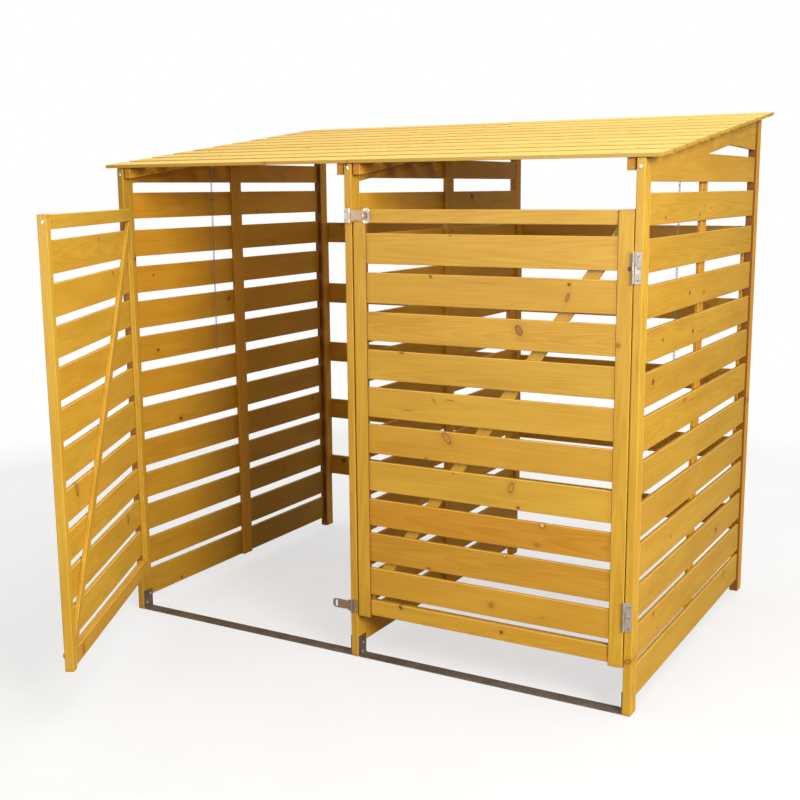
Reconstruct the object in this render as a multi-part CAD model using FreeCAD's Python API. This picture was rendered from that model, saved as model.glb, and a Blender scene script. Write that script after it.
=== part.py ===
import FreeCAD, Part
import math
import os

# Double wheelie bin store in stained softwood: two bays side by side, slatted sides, a slatted
# divider, an open slatted back, two slatted doors and two slatted roof lids hinged at the rear.
# Millimetres. X runs along the front (left to right), Y from front to back, Z up.
# All layout values below are written from the front face of the posts (Y = 0); FRONT_Y moves the
# whole model so that the origin is the centre of the middle front post's foot.

V = FreeCAD.Vector

# ---------------------------------------------------------------- driving dimensions
FRONT_Y = -17.5          # front face of the posts in the part's own frame
HALF_W = 655.0           # half of the width over the front posts and side boards
REAR_PROUD = 4.0         # the rear corner posts stand this much further out
DEPTH = 890.0            # over the posts, front to back
POST_W = 18.0            # along the front
POST_D = 35.0            # front to back
BOARD_T = 9.0            # side, divider, back and door boards
ROOF_Z0 = 1110.0         # underside of the roof slats at the front face
ROOF_K = 0.1316          # rise of the roof per mm of depth (7.5 degrees)
SLAT_T = 8.0
SLAT_W = 64.0
SLAT_N = 11
SLAT_Y0, SLAT_Y1 = -2.0, 887.0
LID_HALF = 688.0         # roof overhangs the posts at each side
LID_SEAM = 1.5           # half of the gap between the two lids
BEARER_W, BEARER_H = 17.0, 25.0
BEARER_IN, BEARER_OUT = 12.0, 617.0   # inner edges of the two bearers, from the centre line
LID_CLEAR = 0.5          # between the closed lid and what it rests on
RAIL_Z0, RAIL_Y0 = 1073.0, 38.0   # lower edge of the sloping top rails

DOOR_Z0, DOOR_Z1 = 100.0, 1014.0
DOOR_T = 19.0
STILE_W = 32.0
STILE_REBATE_W, STILE_REBATE_T = 10.0, 9.5
AXIS_X, AXIS_Y = 636.5, -2.8      # door hinge axes
DOOR_S0, DOOR_S1 = 0.5, 624.5     # door's edges, measured from its hinge axis
LEFT_OPEN = 62.2                  # the left door stands open by this angle, in degrees

KNUCKLE_R, PIN_R, PIN_BORE = 2.45, 1.4, 1.45
LEAF_T, LEAF_W, HINGE_L = 1.2, 16.0, 60.0
DOOR_HINGE_Z = (180.0, 874.0)     # lower ends of the door hinges

LID_AXIS_Y = 892.8
CHAIN_X, CHAIN_Y, CHAIN_L = 625.5, 320.0, 480.0

RIGHT_BOTTOM = (982.5, 892.6, 803.5, 718.0, 629.3, 541.7, 456.7, 368.5, 283.8, 201.7, 115.1, 33.7)
RIGHT_TOP = (1044.4, 957.7, 868.3, 782.3, 698.0, 610.5, 522.3, 438.3, 354.6, 268.8, 185.3, 103.1)
LEFT_BOTTOM = (988.7, 896.4, 806.5, 718.4, 632.4, 542.3, 454.0, 367.8, 284.6, 199.9, 109.0, 27.0)
LEFT_TOP = (1051.9, 961.1, 871.9, 785.5, 697.4, 609.1, 518.8, 433.7, 349.0, 265.6, 178.1, 94.7)
BOARD1_TOP = 1125.0
SIDE_GAP = 3.0           # groove between the side boards and the rear posts
BOARD1_BOTTOM = {"left": 1075.7, "divider": 1079.0, "right": 1064.9}
DOOR_BOARDS = ((897.9, 962.9), (813.7, 879.8), (732.4, 795.4), (648.0, 712.9), (564.5, 630.6),
               (482.9, 548.5), (398.3, 464.7), (317.7, 378.7), (235.1, 300.0), (156.8, 219.3))
BACK_TOPS = (956.0, 771.0, 588.0, 408.0, 227.0)
BACK_H = 60.0

nodes = {}


def put(name, *shapes):
    nodes.setdefault(name, []).extend(shapes)


# ---------------------------------------------------------------- small helpers
def box(x0, x1, y0, y1, z0, z1):
    return Part.makeBox(x1 - x0, y1 - y0, z1 - z0, V(x0, y0, z0))


def cyl(r, p, d, length):
    return Part.makeCylinder(r, length, V(*p), V(*d))


def prism_yz(x0, x1, pts):
    w = Part.makePolygon([V(x0, y, z) for y, z in pts] + [V(x0, *pts[0])])
    return Part.Face(w).extrude(V(x1 - x0, 0, 0))


def prism_xz(y0, y1, pts):
    w = Part.makePolygon([V(x, y0, z) for x, z in pts] + [V(pts[0][0], y0, pts[0][1])])
    return Part.Face(w).extrude(V(0, y1 - y0, 0))


def prism_xy(z0, z1, pts):
    w = Part.makePolygon([V(x, y, z0) for x, y in pts] + [V(pts[0][0], pts[0][1], z0)])
    return Part.Face(w).extrude(V(0, 0, z1 - z0))


def roof(y, off=0.0):
    return ROOF_Z0 + ROOF_K * y + off


def rail_low(y):
    return RAIL_Z0 + ROOF_K * (y - RAIL_Y0)


def mirror(shape):
    return shape.mirror(V(0, 0, 0), V(1, 0, 0))


def one(shape):
    """The single solid of a boolean result."""
    s = shape.removeSplitter()
    if len(s.Solids) != 1:
        raise ValueError("expected one solid, got %d" % len(s.Solids))
    return s.Solids[0]


def screw(p, d, head_r=3.5, shank_r=1.75, length=18.0):
    """Countersunk wood screw: head flush at p, shank along d."""
    cone = head_r - shank_r
    prof = [V(0, 0, 0), V(head_r, 0, 0), V(head_r, 0, 0.3), V(shank_r, 0, 0.3 + cone), V(shank_r, 0, length - 2.5), V(0, 0, length)]
    face = Part.Face(Part.makePolygon(prof + [prof[0]]))
    s = face.revolve(V(0, 0, 0), V(0, 0, 1), 360)
    if not s.isValid() or s.Volume < 0:
        s = s.reversed()
    s = Part.Solid(s.Shells[0]) if s.ShapeType != "Solid" else s
    rot = FreeCAD.Rotation(V(0, 0, 1), V(*d))
    s = s.copy()
    s.Placement = FreeCAD.Placement(V(*p), rot)
    return s


def bore(shapes, cutters):
    tool = Part.makeCompound(cutters)
    return [one(s.cut(tool)) for s in shapes]


def slope_box(x0, x1, y0, y1, under, thick):
    """Board lying in the roof's slope: its underside is `under` above the roof plane."""
    return prism_yz(x0, x1, [(y0, roof(y0, under)), (y1, roof(y1, under)), (y1, roof(y1, under + thick)), (y0, roof(y0, under + thick))])


# ---------------------------------------------------------------- posts
frame_screws = {"post_face_screws": [], "strap_screws": [], "hinge_and_hasp_screws": []}


def front_post(x0, x1):
    p = prism_yz(x0, x1, [(0, 0), (POST_D, 0), (POST_D, roof(POST_D, -LID_CLEAR)), (0, roof(0, -LID_CLEAR))])
    edges = [e for e in p.Edges if abs(e.BoundBox.ZLength) > 500 and e.BoundBox.YMax < 1]
    return p.makeFillet(2.2, edges)


def rear_post(x0, x1):
    y0 = DEPTH - POST_D
    p = prism_yz(x0, x1, [(y0, 0), (DEPTH, 0), (DEPTH, roof(DEPTH, -LID_CLEAR)), (y0, roof(y0, -LID_CLEAR))])
    edges = [e for e in p.Edges if abs(e.BoundBox.ZLength) > 500 and e.BoundBox.YMin > DEPTH - 1]
    return p.makeFillet(2.2, edges)


posts = {
    "front_left_post": front_post(-HALF_W, -HALF_W + POST_W),
    "front_middle_post": front_post(-POST_W / 2, POST_W / 2),
    "front_right_post": front_post(HALF_W - POST_W, HALF_W),
    "rear_left_post": rear_post(-HALF_W - REAR_PROUD, -HALF_W + POST_W),
    "rear_middle_post": rear_post(-POST_W / 2, POST_W / 2),
    "rear_right_post": rear_post(HALF_W - POST_W, HALF_W + REAR_PROUD),
}

# ---------------------------------------------------------------- slatted sides and divider
Y_IN0, Y_IN1 = POST_D, DEPTH - POST_D


def side(name, x0, x1, tops, bottoms, b1_bottom, wedge):
    """Boards between a front and a rear post, with the sloping rail on top, which butts against both posts."""
    boards = [box(x0, x1, Y_IN0, Y_IN1 - SIDE_GAP, b, t) for b, t in zip(bottoms, tops)]
    ye = Y_IN1 - SIDE_GAP
    y_meet = RAIL_Y0 + (BOARD1_TOP - RAIL_Z0) / ROOF_K
    pts = [(Y_IN0, b1_bottom), (ye, b1_bottom), (ye, BOARD1_TOP), (y_meet, BOARD1_TOP), (Y_IN0, max(rail_low(Y_IN0), b1_bottom + 0.0))]
    if rail_low(Y_IN0) <= b1_bottom + 0.5:
        y_start = RAIL_Y0 + (b1_bottom - RAIL_Z0) / ROOF_K
        pts = [(y_start, b1_bottom), (ye, b1_bottom), (ye, BOARD1_TOP), (y_meet, BOARD1_TOP)]
    boards.insert(0, prism_yz(x0, x1, pts))
    if wedge:
        yw = 618.0
        boards.append(prism_yz(x0, x1, [(yw, 1148.0), (ye, 1142.0), (ye, rail_low(ye)), (yw, rail_low(yw))]))
    put(name + "_boards", *boards)
    y_split = 466.0
    rails = []
    for a, b in ((Y_IN0, y_split - 0.4), (y_split + 0.4, Y_IN1)):
        rails.append(prism_yz(x0, x1, [(a, rail_low(a)), (b, rail_low(b)), (b, roof(b, -LID_CLEAR)), (a, roof(a, -LID_CLEAR))]))
    put(name + "_top_rails", *rails)


side("left_side", -HALF_W, -HALF_W + BOARD_T, LEFT_TOP, LEFT_BOTTOM, BOARD1_BOTTOM["left"], True)
side("right_side", HALF_W - BOARD_T, HALF_W, RIGHT_TOP, RIGHT_BOTTOM, BOARD1_BOTTOM["right"], True)
div_tops = [0.5 * (a + b) for a, b in zip(LEFT_TOP, RIGHT_TOP)]
div_bottoms = [0.5 * (a + b) for a, b in zip(LEFT_BOTTOM, RIGHT_BOTTOM)]
side("divider", 0.0, BOARD_T, div_tops, div_bottoms, BOARD1_BOTTOM["divider"], False)

BAT_Y0, BAT_Y1 = 423.0, 463.0


def batten(x0, x1, z0, below=LID_CLEAR):
    return prism_yz(x0, x1, [(BAT_Y0, z0), (BAT_Y1, z0), (BAT_Y1, roof(BAT_Y1, -below)), (BAT_Y0, roof(BAT_Y0, -below))])


put("left_side_batten", batten(-HALF_W + BOARD_T, -HALF_W + 2 * BOARD_T, 27.0))
put("right_side_batten", batten(HALF_W - 2 * BOARD_T, HALF_W - BOARD_T, 33.7))
# the divider's batten stops under the lid's inner bearer
put("divider_batten", batten(BOARD_T, 2 * BOARD_T, 30.4, BEARER_H + 1.5))

# ---------------------------------------------------------------- back
X_POST = HALF_W - POST_W        # inner face of the outer posts
for name, a, b in (("left_back_boards", -X_POST, -POST_W / 2), ("right_back_boards", POST_W / 2, X_POST)):
    put(name, *[box(a, b, DEPTH - BOARD_T, DEPTH, t - BACK_H, t) for t in BACK_TOPS])
END_Z0, END_Z1 = BACK_TOPS[-1] - BACK_H, BACK_TOPS[0]
put("back_end_battens", *[box(a, b, Y_IN1, DEPTH - BOARD_T, END_Z0, END_Z1) for a, b in
                          ((-X_POST, -X_POST + BOARD_T), (-POST_W / 2 - BOARD_T, -POST_W / 2), (POST_W / 2, POST_W / 2 + BOARD_T), (X_POST - BOARD_T, X_POST))])

# rear top rails: they carry the lid hinges; their tops lie 1.7 below the slats to clear the leaves
RAIL_Y_A, RAIL_Y_B = DEPTH - 18.0, DEPTH
rear_rails = [prism_yz(a, b, [(RAIL_Y_A, 1172.0), (RAIL_Y_B, 1172.0), (RAIL_Y_B, roof(RAIL_Y_B, -1.9)), (RAIL_Y_A, roof(RAIL_Y_A, -1.9))])
              for a, b in ((-X_POST, -POST_W / 2), (POST_W / 2, X_POST))]

# ---------------------------------------------------------------- floor straps (one bent steel strip per bay)
STRAP_Y0, STRAP_Y1, STRAP_T, STRAP_UP = 2.0, 32.0, 2.5, 48.0


def floor_strap(a, b):
    flat = box(a, b, STRAP_Y0, STRAP_Y1, 0, STRAP_T)
    up1 = box(a, a + STRAP_T, STRAP_Y0, STRAP_Y1, 0, STRAP_UP)
    up2 = box(b - STRAP_T, b, STRAP_Y0, STRAP_Y1, 0, STRAP_UP)
    s = one(flat.fuse([up1, up2]))
    outer = [e for e in s.Edges if e.BoundBox.YLength > 20 and e.BoundBox.ZMax < 0.01]
    s = s.makeFillet(2.4, outer)
    inner = [e for e in s.Edges if e.BoundBox.YLength > 20 and abs(e.BoundBox.ZMin - STRAP_T) < 0.01 and abs(e.BoundBox.ZMax - STRAP_T) < 0.01]
    if inner:
        s = s.makeFillet(1.5, inner)
    return s


straps = {"left_floor_strap": (-X_POST, -POST_W / 2), "right_floor_strap": (POST_W / 2, X_POST)}
strap_shapes = {n: floor_strap(a, b) for n, (a, b) in straps.items()}
strap_screw_at = {}
for n, (a, b) in straps.items():
    lst = []
    # the screws of the middle post's two sides are staggered, so that they pass each other
    for (x, d) in ((a + STRAP_T, -1), (b - STRAP_T, 1)):
        middle = abs(x) < 100
        for (y, z) in ((24.0, 36.0), (11.0, 16.0)):
            if middle and n.startswith("right"):
                z = z - 7.0
                y = y - 4.0 if y > 15 else y + 4.0
            lst.append(screw((x, y, z), (d, 0, 0), 3.6, 1.7, 14.0))
    strap_screw_at[n] = lst
    frame_screws["strap_screws"].extend(lst)

# ---------------------------------------------------------------- screws with washer heads on the front faces
face_at = ((-646.0, 1094.0), (0.0, 1100.0), (646.0, 1093.0))
for x, z in face_at:
    s = screw((x, 0.0, z), (0, 1, 0), 3.4, 1.9, 30.0)
    frame_screws["post_face_screws"].append(s)

# ---------------------------------------------------------------- butt hinges of the doors


def knuckle(x, y, z0, z1, r=KNUCKLE_R):
    return cyl(r, (x, y, z0), (0, 0, 1), z1 - z0)


def post_leaf(z0):
    """Right-hand post: leaf on the post's front face with the two end knuckles."""
    z = (z0, z0 + 20.0, z0 + 40.0, z0 + HINGE_L)
    leaf = box(AXIS_X, AXIS_X + LEAF_W, -LEAF_T, 0, z[0], z[3])
    leaf = leaf.cut(box(AXIS_X - 5, AXIS_X + KNUCKLE_R + 0.4, -LEAF_T - 1, 1, z[1], z[2]))
    body = leaf.fuse([knuckle(AXIS_X, AXIS_Y, z[0], z[1]), knuckle(AXIS_X, AXIS_Y, z[2], z[3]),
                      box(AXIS_X, AXIS_X + 1.6, AXIS_Y, -LEAF_T / 2, z[0], z[1]), box(AXIS_X, AXIS_X + 1.6, AXIS_Y, -LEAF_T / 2, z[2], z[3])])
    body = body.cut(cyl(PIN_R, (AXIS_X, AXIS_Y, z0 - 2), (0, 0, 1), HINGE_L + 4))
    return one(body)


def door_leaf(z0):
    """Right-hand door, closed: leaf let into the door's edge with the middle knuckle."""
    za, zb = z0 + 20.3, z0 + 39.7
    plate = box(AXIS_X - DOOR_S0 - LEAF_T, AXIS_X - DOOR_S0, 0.0, LEAF_W, z0 + 0.5, z0 + HINGE_L - 0.5)
    tab = box(AXIS_X - DOOR_S0 - LEAF_T, AXIS_X - DOOR_S0, AXIS_Y, 0.5, za, zb)
    body = plate.fuse([tab, knuckle(AXIS_X, AXIS_Y, za, zb)])
    body = body.cut(cyl(PIN_BORE, (AXIS_X, AXIS_Y, z0 - 2), (0, 0, 1), HINGE_L + 4))
    return one(body)


def hinge_pin(z0):
    p = cyl(PIN_R, (AXIS_X, AXIS_Y, z0 - 0.6), (0, 0, 1), HINGE_L + 1.2)
    return p


post_leaves, post_pins, post_leaf_screws, door_leaves_r, door_leaf_screws_r = [], [], [], [], []
for z0 in DOOR_HINGE_Z:
    sc = [screw((AXIS_X + 9.8, -LEAF_T, z0 + dz), (0, 1, 0), 3.0, 1.5, 18.0) for dz in (8.0, 30.0, 52.0)]
    leaf = bore([post_leaf(z0)], sc)[0]
    post_leaves += [leaf, mirror(leaf)]
    post_pins += [hinge_pin(z0), mirror(hinge_pin(z0))]
    post_leaf_screws += sc + [mirror(s) for s in sc]
    sd = [screw((AXIS_X - DOOR_S0, 9.5, z0 + dz), (-1, 0, 0), 2.6, 1.4, 16.0) for dz in (9.0, 30.0, 51.0)]
    door_leaves_r.append(bore([door_leaf(z0)], sd)[0])
    door_leaf_screws_r += sd
frame_screws["hinge_and_hasp_screws"] += post_leaf_screws

# ---------------------------------------------------------------- doors, built as the closed right-hand door


def S(s):
    return AXIS_X - s


SW = STILE_W
hinge_pocket = [box(S(DOOR_S0 + LEAF_T), S(DOOR_S0) + 1, -1, LEAF_W, z0 + 0.5, z0 + HINGE_L - 0.5) for z0 in DOOR_HINGE_Z]


def stile(s_out, sign):
    """L-shaped section: full width in front, rebated on its inner side behind."""
    a = s_out
    pts = [(S(a), 0.0), (S(a + sign * SW), 0.0), (S(a + sign * SW), DOOR_T - STILE_REBATE_T),
           (S(a + sign * (SW - STILE_REBATE_W)), DOOR_T - STILE_REBATE_T), (S(a + sign * (SW - STILE_REBATE_W)), DOOR_T), (S(a), DOOR_T)]
    st = prism_xy(DOOR_Z0, DOOR_Z1, pts)
    return st


rail_z = ((106.5, 141.9), (984.6, 1013.2))
edge_screws = []
for zc in (124.0, 999.0):
    edge_screws.append(screw((S(DOOR_S0), 12.0, zc), (-1, 0, 0), 3.4, 1.9, 40.0))
    edge_screws.append(screw((S(DOOR_S1), 12.0, zc), (1, 0, 0), 3.4, 1.9, 40.0))
stiles_r = [stile(DOOR_S0, 1), stile(DOOR_S1, -1)]
stiles_r[0] = one(stiles_r[0].cut(Part.makeCompound(hinge_pocket)))
S_IN0, S_IN1 = DOOR_S0 + SW, DOOR_S1 - SW
S_BK0, S_BK1 = DOOR_S0 + SW - STILE_REBATE_W, DOOR_S1 - SW + STILE_REBATE_W


def rail(z0, z1):
    main = box(S(S_IN1), S(S_IN0), 2.5, DOOR_T, z0, z1)
    tongues = box(S(S_BK1), S(S_BK0), DOOR_T - STILE_REBATE_T, DOOR_T, z0, z1)
    return one(main.fuse(tongues))


rails_r = [rail(*z) for z in rail_z]
boards_r = [box(S(S_IN1), S(S_IN0), 0.6, 0.6 + BOARD_T - 0.1, a, b) for a, b in DOOR_BOARDS]
BR_T = DOOR_T - 9.5
zt, zb = rail_z[1][0], rail_z[0][1]
up = lambda s: 983.0 - 1.4380 * (s - 35.6)
lo = lambda s: 906.1 - 1.4277 * (s - 54.8)
s_up_top = 35.6 + (983.0 - zt) / 1.4380
s_lo_bot = 54.8 + (906.1 - zb) / 1.4277
brace_pts = [(s_up_top, zt), (S_BK0, zt), (S_BK0, lo(S_BK0)), (s_lo_bot, zb), (S_BK1, zb), (S_BK1, up(S_BK1))]
brace_r = prism_xz(9.5, 9.5 + 9.0, [(S(s), z) for s, z in brace_pts])

# screws through the stiles into the rails, and the leaves' screws
stiles_r = bore(stiles_r, edge_screws + door_leaf_screws_r)
rails_r = bore(rails_r, edge_screws)

# ---------------------------------------------------------------- hasps
HASP_R, HASP_KY = 2.9, -3.3       # knuckle radius, knuckle axis (Y)
HASP_X = 5.0                      # knuckle axis, from the post's centre line
HASP_SLOT = 45.0
HASP_H = 25.0
HASP_T = 1.5


def hasp(zc):
    """Strap pointing to +X: post plate with two knuckles, strap with one, and a pin."""
    h = 31.0
    z = (zc - h / 2, zc - h / 2 + 8.5, zc + h / 2 - 8.5, zc + h / 2)
    plate = box(HASP_X - 14.0, HASP_X, -HASP_T, 0.0, zc - 15.0, zc + 15.0)
    plate = plate.cut(box(HASP_X - HASP_R - 0.5, HASP_X + 5, -3, 1, z[1] - 0.3, z[2] + 0.3))
    ks = [knuckle(HASP_X, HASP_KY, z[0], z[1] - 0.3, HASP_R), knuckle(HASP_X, HASP_KY, z[2] + 0.3, z[3], HASP_R)]
    webs = [box(HASP_X - 2.2, HASP_X - 0.2, HASP_KY, -HASP_T / 2, a, b) for a, b in ((z[0] + 0.5, z[1] - 0.3), (z[2] + 0.3, z[3] - 0.5))]
    plate = plate.fuse(ks + webs)
    plate = plate.cut(cyl(1.5, (HASP_X, HASP_KY, zc - 20), (0, 0, 1), 40))
    plate = one(plate.common(box(-60, 60, -20, 0, zc - 30, zc + 30)))
    yb = -0.5
    r = 7.0
    x_end = HASP_SLOT + 10.5
    # full height at the knuckle, a notch above and below, then a little narrower to the rounded end
    xs, hh, hn, he = HASP_X + 1.0, HASP_H / 2, HASP_H / 2 - 3.6, HASP_H / 2 - 2.0
    prof = [(xs, hh), (xs + 9.0, hh), (xs + 12.5, hn), (xs + 16.0, he), (x_end, he)]
    strap = prism_xz(yb - HASP_T, yb, [(x, zc - z_) for x, z_ in prof] + [(x, zc + z_) for x, z_ in prof[::-1]])
    corner = [e for e in strap.Edges if e.BoundBox.YLength > 1 and e.BoundBox.XLength < 0.01 and e.BoundBox.ZLength < 0.01 and abs(e.BoundBox.XMin - x_end) < 0.01]
    strap = strap.makeFillet(r, corner)
    # clear the post's knuckles above and below the strap's own
    for a, b in ((zc - 30, z[1]), (z[2], zc + 30)):
        strap = strap.cut(box(HASP_X - 5, HASP_X + HASP_R + 0.5, -9, 3, a, b))
    strap = strap.fuse(knuckle(HASP_X, HASP_KY, z[1], z[2], HASP_R))
    slot = box(HASP_SLOT - 2.3, HASP_SLOT + 4.3, -8, 3, zc - 7.6, zc + 7.6)
    slot_e = [e for e in slot.Edges if e.BoundBox.YLength > 5]
    slot = slot.makeFillet(2.0, slot_e)
    strap = strap.cut(slot)
    strap = one(strap.cut(cyl(1.55, (HASP_X, HASP_KY, zc - 20), (0, 0, 1), 40)))
    pin = cyl(1.5, (HASP_X, HASP_KY, z[0] - 0.4), (0, 0, 1), h + 0.8)
    screws = [screw((HASP_X - 9.5, -HASP_T, zc + dz), (0, 1, 0), 2.6, 1.4, 14.0) for dz in (-9.0, 9.0)]
    plate = bore([plate], screws)[0]
    return plate, strap, pin, screws


def staple(zc):
    """On the closed right-hand door: oval base plate let into the door's face and a turning eye."""
    w, h = 22.0, 34.0
    base = box(HASP_SLOT - w / 2, HASP_SLOT + w / 2, 0.0, 0.6, zc - h / 2, zc + h / 2)
    es = [e for e in base.Edges if 0.5 < e.BoundBox.YLength < 1 and e.BoundBox.XLength < 0.01 and e.BoundBox.ZLength < 0.01]
    base = base.makeFillet(10.9, es)
    base = base.cut(cyl(2.1, (HASP_SLOT, -3, zc), (0, 1, 0), 6))
    screws = [screw((HASP_SLOT, 0.0, zc + dz), (0, 1, 0), 2.4, 1.3, 12.0) for dz in (-13.6, 13.6)]
    base = bore([base], screws)[0]
    # turning eye: spindle through the plate, a back washer in the wood, and a flat head with a hole
    spindle = cyl(2.0, (HASP_SLOT, 1.6, zc), (0, -1, 0), 5.0)
    back = cyl(3.6, (HASP_SLOT, 1.7, zc), (0, -1, 0), 1.0)
    head = box(HASP_SLOT - 1.3, HASP_SLOT + 1.3, -13.0, -2.6, zc - 6.5, zc + 6.5)
    he = [e for e in head.Edges if e.BoundBox.XLength > 2 and e.BoundBox.YMax < -12.9]
    head = head.makeFillet(5.0, he)
    head = head.cut(cyl(2.8, (HASP_SLOT - 5, -8.2, zc), (1, 0, 0), 10))
    eye = one(head.fuse([spindle, back]))
    pocket = [cyl(4.0, (HASP_SLOT, 0.6, zc), (0, 1, 0), 1.5), base_pocket(zc, w, h)]
    return base, eye, screws, pocket


def base_pocket(zc, w, h):
    b = box(HASP_SLOT - w / 2, HASP_SLOT + w / 2, -0.5, 0.6, zc - h / 2, zc + h / 2)
    es = [e for e in b.Edges if 1 < e.BoundBox.YLength < 1.2 and e.BoundBox.XLength < 0.01 and e.BoundBox.ZLength < 0.01]
    return b.makeFillet(10.9, es)


UP_Z, LOW_Z = 1000.0, 121.5
up_plate, up_strap, up_pin, up_scr = hasp(UP_Z)
lw_plate, lw_strap, lw_pin, lw_scr = [None] * 4
a_, b_, c_, d_ = hasp(LOW_Z)
lw_plate, lw_strap, lw_pin, lw_scr = mirror(a_), mirror(b_), mirror(c_), [mirror(s) for s in d_]
up_base, up_eye, up_bscr, up_pocket = staple(UP_Z)
lw_base, lw_eye, lw_bscr, lw_pocket = staple(LOW_Z)
frame_screws["hinge_and_hasp_screws"] += up_scr + lw_scr


def door(side_name, base, bscr, pocket, eye, eye_name):
    """Cut the staple's pockets, then place the door: mirrored and swung open for the left one."""
    left = side_name == "left"
    tool = pocket + bscr
    st = bore(stiles_r, tool)
    rl = bore(rails_r, tool)
    bd = list(boards_r)
    parts = {
        "_door_stiles": st, "_door_rails": rl, "_door_boards": bd, "_door_brace": [brace_r],
        "_door_hinge_leaves": door_leaves_r, "_door_screws": edge_screws + door_leaf_screws_r + bscr,
        "_door_staple_plate": [base], eye_name: [eye],
    }
    for suffix, shapes in parts.items():
        out = []
        for s in shapes:
            s = s.copy()
            if left:
                s = mirror(s)
                s.rotate(V(-AXIS_X, AXIS_Y, 0), V(0, 0, 1), -LEFT_OPEN)
            out.append(s)
        put((side_name + suffix) if suffix.startswith("_") else suffix, *out)


door("left", lw_base, lw_bscr, lw_pocket, lw_eye, "lower_turn_staple")
door("right", up_base, up_bscr, up_pocket, up_eye, "upper_turn_staple")

put("upper_hasp_plate", up_plate)
put("lower_hasp_plate", lw_plate)
put("hinge_pins", up_pin, lw_pin)
put("upper_hasp_strap", up_strap)
put("lower_hasp_strap", lw_strap)
put("door_hinge_post_leaves", *post_leaves)
put("hinge_pins", *post_pins)

# ---------------------------------------------------------------- roof lids, built as the right-hand lid
pitch = (SLAT_Y1 - SLAT_Y0 - SLAT_W) / (SLAT_N - 1)
slats_r = [slope_box(LID_SEAM, LID_HALF, SLAT_Y0 + i * pitch, SLAT_Y0 + i * pitch + SLAT_W, 0.0, SLAT_T) for i in range(SLAT_N)]
BEAR_Y0, BEAR_Y1 = 4.0, 846.0
bearers_r = [slope_box(a, b, BEAR_Y0, BEAR_Y1, -BEARER_H, BEARER_H) for a, b in ((BEARER_IN, BEARER_IN + BEARER_W), (BEARER_OUT, BEARER_OUT + BEARER_W))]
slope_a = math.atan(ROOF_K)
LID_AXIS_Z = roof(LID_AXIS_Y) - (KNUCKLE_R + 0.0) / math.cos(slope_a)
lid_hinge_x = (120.0, 500.0)
LID_HINGE_L = 64.0


def xknuckle(x0, x1, r=KNUCKLE_R):
    return cyl(r, (x0, LID_AXIS_Y, LID_AXIS_Z), (1, 0, 0), x1 - x0)


rail_leaves_r, lid_leaves_r, lid_pins_r, rail_leaf_screws_r, lid_leaf_screws_r = [], [], [], [], []
for x0 in lid_hinge_x:
    xs = (x0, x0 + 21.3, x0 + 42.7, x0 + LID_HINGE_L)
    # leaf on the rear face of the rail, with the end knuckles
    leaf = box(xs[0], xs[3], DEPTH, DEPTH + LEAF_T, LID_AXIS_Z - 19.0, LID_AXIS_Z)
    leaf = leaf.cut(box(xs[1] - 0.3, xs[2] + 0.3, DEPTH - 1, DEPTH + 6, LID_AXIS_Z - KNUCKLE_R - 0.5, LID_AXIS_Z + 5))
    leaf = leaf.fuse([xknuckle(xs[0], xs[1] - 0.3), xknuckle(xs[2] + 0.3, xs[3])])
    leaf = one(leaf.cut(cyl(PIN_R, (x0 - 2, LID_AXIS_Y, LID_AXIS_Z), (1, 0, 0), LID_HINGE_L + 4)))
    sc = [screw((x0 + dx, DEPTH + LEAF_T, LID_AXIS_Z - 12.5), (0, -1, 0), 3.0, 1.5, 15.0) for dx in (9.0, 32.0, 55.0)]
    rail_leaves_r.append(bore([leaf], sc)[0])
    rail_leaf_screws_r += sc
    # leaf under the last slat, with the middle knuckle
    y_a = 868.5
    t = LEAF_T
    plate = slope_box(xs[0], xs[3], y_a, LID_AXIS_Y - 2.9, -t, t)
    tab = slope_box(xs[1] + 0.05, xs[2] - 0.05, LID_AXIS_Y - 3.0, LID_AXIS_Y, -t, t)
    lid_leaf = plate.fuse([tab, xknuckle(xs[1] + 0.05, xs[2] - 0.05)])
    lid_leaf = lid_leaf.cut(cyl(PIN_BORE, (x0 - 2, LID_AXIS_Y, LID_AXIS_Z), (1, 0, 0), LID_HINGE_L + 4))
    # keep the plate clear of the rail's end knuckles
    for a, b in ((xs[0] - 1, xs[1] + 0.05), (xs[2] - 0.05, xs[3] + 1)):
        lid_leaf = lid_leaf.cut(cyl(KNUCKLE_R + 0.35, (a, LID_AXIS_Y, LID_AXIS_Z), (1, 0, 0), b - a))
    lid_leaf = one(lid_leaf)
    n = V(0, -math.sin(slope_a), math.cos(slope_a))
    sl = []
    for dx in (9.0, 32.0, 55.0):
        p = V(x0 + dx, 877.0, roof(877.0, -t / math.cos(slope_a) * 1.0))
        sl.append(screw((p.x, p.y, p.z), (n.x, n.y, n.z), 2.6, 1.4, 7.5))
    lid_leaves_r.append(bore([lid_leaf], sl)[0])
    lid_leaf_screws_r += sl
    lid_pins_r.append(cyl(PIN_R, (x0 - 0.6, LID_AXIS_Y, LID_AXIS_Z), (1, 0, 0), LID_HINGE_L + 1.2))

# eye under the outer bearer, and the hanging chain
EYE_R, EYE_W = 5.7, 1.2
eye_bottom_z = roof(CHAIN_Y, -BEARER_H) - 4.5 - 2 * EYE_R      # centre line of the ring's lowest point
ring_c = (CHAIN_X, CHAIN_Y, eye_bottom_z + EYE_R)
ring = Part.makeTorus(EYE_R, EYE_W, V(*ring_c), V(0, 1, 0))
shank = cyl(1.3, (CHAIN_X, CHAIN_Y, ring_c[2] + EYE_R - 0.3), (0, 0, 1), 4.5 + 14.0)
eye_r = one(ring.fuse(shank))
LINK_W, LINK_R = 5.4, 0.5     # outer width, wire radius
LINK_PITCH = 4.4


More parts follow.
